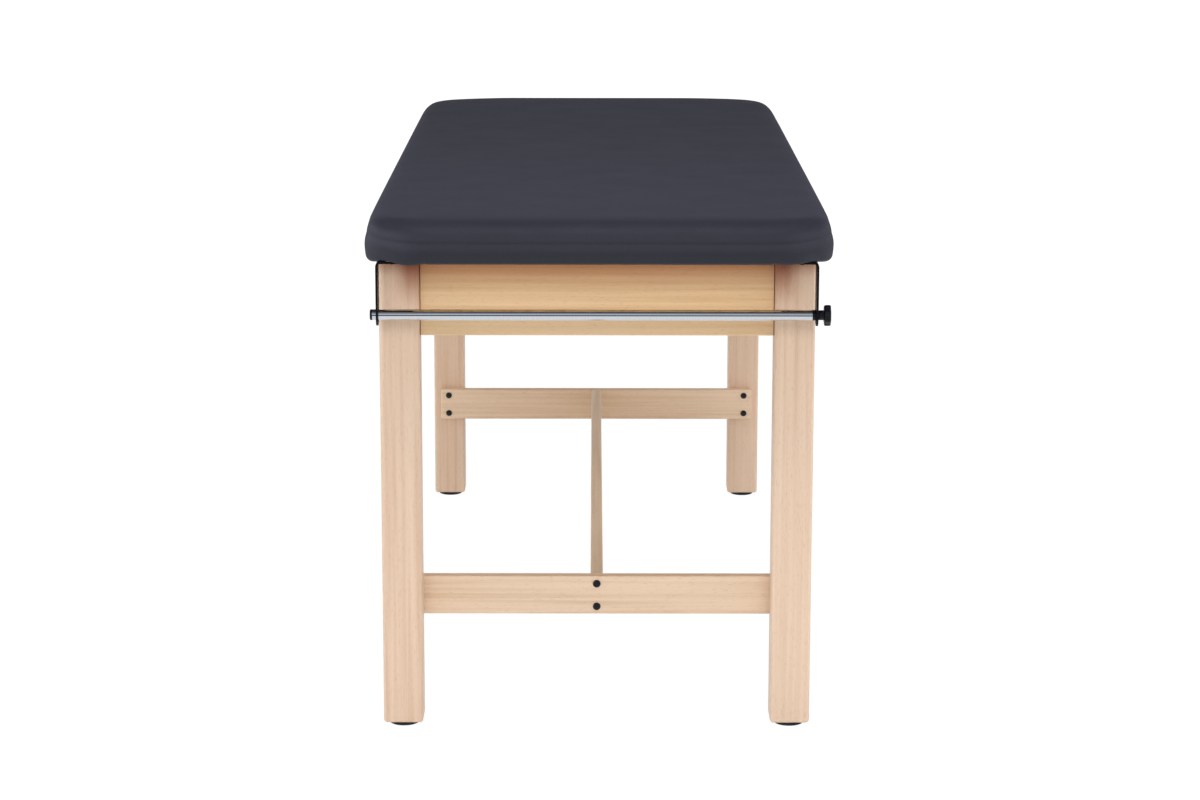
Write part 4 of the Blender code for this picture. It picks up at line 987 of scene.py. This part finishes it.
def studio_world():
    """White to the camera, soft light to the rest; in gloss a pale front, brighter aside, and a dark top."""
    world = bpy.data.worlds.new("studio")
    bpy.context.scene.world = world
    world.use_nodes = True
    tree = world.node_tree
    tree.nodes.clear()
    rays = add_node(tree, "ShaderNodeLightPath")
    place = add_node(tree, "ShaderNodeTexCoord")
    parts = add_node(tree, "ShaderNodeSeparateXYZ", None, {"Vector": place.outputs["Generated"]})
    front = ramp(
        tree, parts.outputs["Z"],
        ((0.0, "1C1F2A"), (0.03, "1C1F2A"), (0.07, "BAC3CB"), (0.30, "CDD5DD"), (0.50, "A2AAB4"),
         (0.72, "7A7B7E"), (0.90, "5A5857"), (1.0, "2A2A2D")),
    )
    back = ramp(
        tree, parts.outputs["Z"], ((0.0, "91919D"), (0.24, "91919D"), (0.42, "2C2C33"), (0.9, "26262B"))
    )
    turn = plain_range(tree, parts.outputs["Y"], -0.2, 0.2)
    around = add_node(
        tree, "ShaderNodeMix", {"data_type": "RGBA"}, {"Factor": turn, 6: front, 7: back}
    )
    left = add_node(
        tree, "ShaderNodeMapRange", {"interpolation_type": "SMOOTHSTEP"},
        {"Value": parts.outputs["X"], "From Min": -0.45, "From Max": -0.72, "To Min": 1.0, "To Max": 3.4},
    )
    right = add_node(
        tree, "ShaderNodeMapRange", {"interpolation_type": "SMOOTHSTEP"},
        {"Value": parts.outputs["X"], "From Min": 0.45, "From Max": 0.72, "To Min": 1.0, "To Max": 2.4},
    )
    windows = add_node(
        tree, "ShaderNodeMath", {"operation": "MULTIPLY"}, {0: left.outputs[0], 1: right.outputs[0]}
    )
    gloss = add_node(
        tree, "ShaderNodeBackground", None, {"Color": around.outputs[2], "Strength": windows.outputs[0]}
    )
    soft = add_node(tree, "ShaderNodeBackground", None, {"Color": colour("F4F5F8"), "Strength": AMBIENT})
    white = add_node(tree, "ShaderNodeBackground", None, {"Color": (1, 1, 1, 1), "Strength": 1.0})
    first = add_node(
        tree, "ShaderNodeMixShader", None,
        {0: rays.outputs["Is Glossy Ray"], 1: soft.outputs[0], 2: gloss.outputs[0]},
    )
    seen = add_node(
        tree, "ShaderNodeMath", {"operation": "ADD", "use_clamp": True},
        {0: rays.outputs["Is Camera Ray"], 1: rays.outputs["Is Transmission Ray"]},
    )
    second = add_node(
        tree, "ShaderNodeMixShader", None, {0: seen.outputs[0], 1: first.outputs[0], 2: white.outputs[0]}
    )
    out = add_node(tree, "ShaderNodeOutputWorld", None, {"Surface": second.outputs[0]})
    out.is_active_output = True


def lamp(name, place, target, wide, high, watts, tone="FFFFFF"):
    """A soft rectangular lamp aimed at a point and left out of reflections."""
    light = bpy.data.lights.new(name, "AREA")
    light.shape = "RECTANGLE"
    light.size = wide
    light.size_y = high
    light.energy = watts
    light.color = colour(tone)[:3]
    holder = bpy.data.objects.new(name, light)
    bpy.context.scene.collection.objects.link(holder)
    holder.location = place
    holder.rotation_euler = (Vector(target) - Vector(place)).to_track_quat("-Z", "Y").to_euler()
    holder.visible_glossy = False


def lamps():
    """A wide low soft box at the front, one above, and weak ones at the sides and the back."""
    lamp("softbox_front", (0, -9.0, 3.6), (0, -0.8, 0.55), 6.0, 3.2, 300, "FFFDFA")
    lamp("softbox_over", (0, -1.1, 2.6), (0, -0.9, 0.79), 1.6, 1.0, 43)
    lamp("softbox_left", (-4.2, -0.6, 1.6), (0, 0, 0.5), 3.0, 1.8, 60)
    lamp("softbox_right", (4.2, -0.6, 1.6), (0, 0, 0.5), 3.0, 1.8, 60)
    lamp("softbox_back", (0, 5.2, 2.6), (0, 0.5, 0.3), 3.6, 1.8, 60)


def camera():
    """The photograph's viewpoint."""
    lens = bpy.data.cameras.new("photo_camera")
    lens.sensor_width = SENSOR_MM
    lens.lens = FOCAL_PIXELS / PHOTO_WIDTH * SENSOR_MM
    lens.clip_end = 100
    holder = bpy.data.objects.new("photo_camera", lens)
    bpy.context.scene.collection.objects.link(holder)
    turn = Matrix.Rotation(-CAMERA_YAW, 4, "Z") @ Matrix.Rotation(math.pi / 2 - CAMERA_PITCH, 4, "X")
    holder.matrix_world = Matrix.Translation(CAMERA_PLACE) @ turn @ Matrix.Rotation(CAMERA_ROLL, 4, "Z")
    bpy.context.scene.camera = holder


camera()
cushion()
staples()
legs()
joint_lines()
feet()
brace_screws()
roll_rod()
knob()
stud()
repaint()
floor()
studio_world()
lamps()
bpy.context.scene.view_settings.view_transform = "Standard"
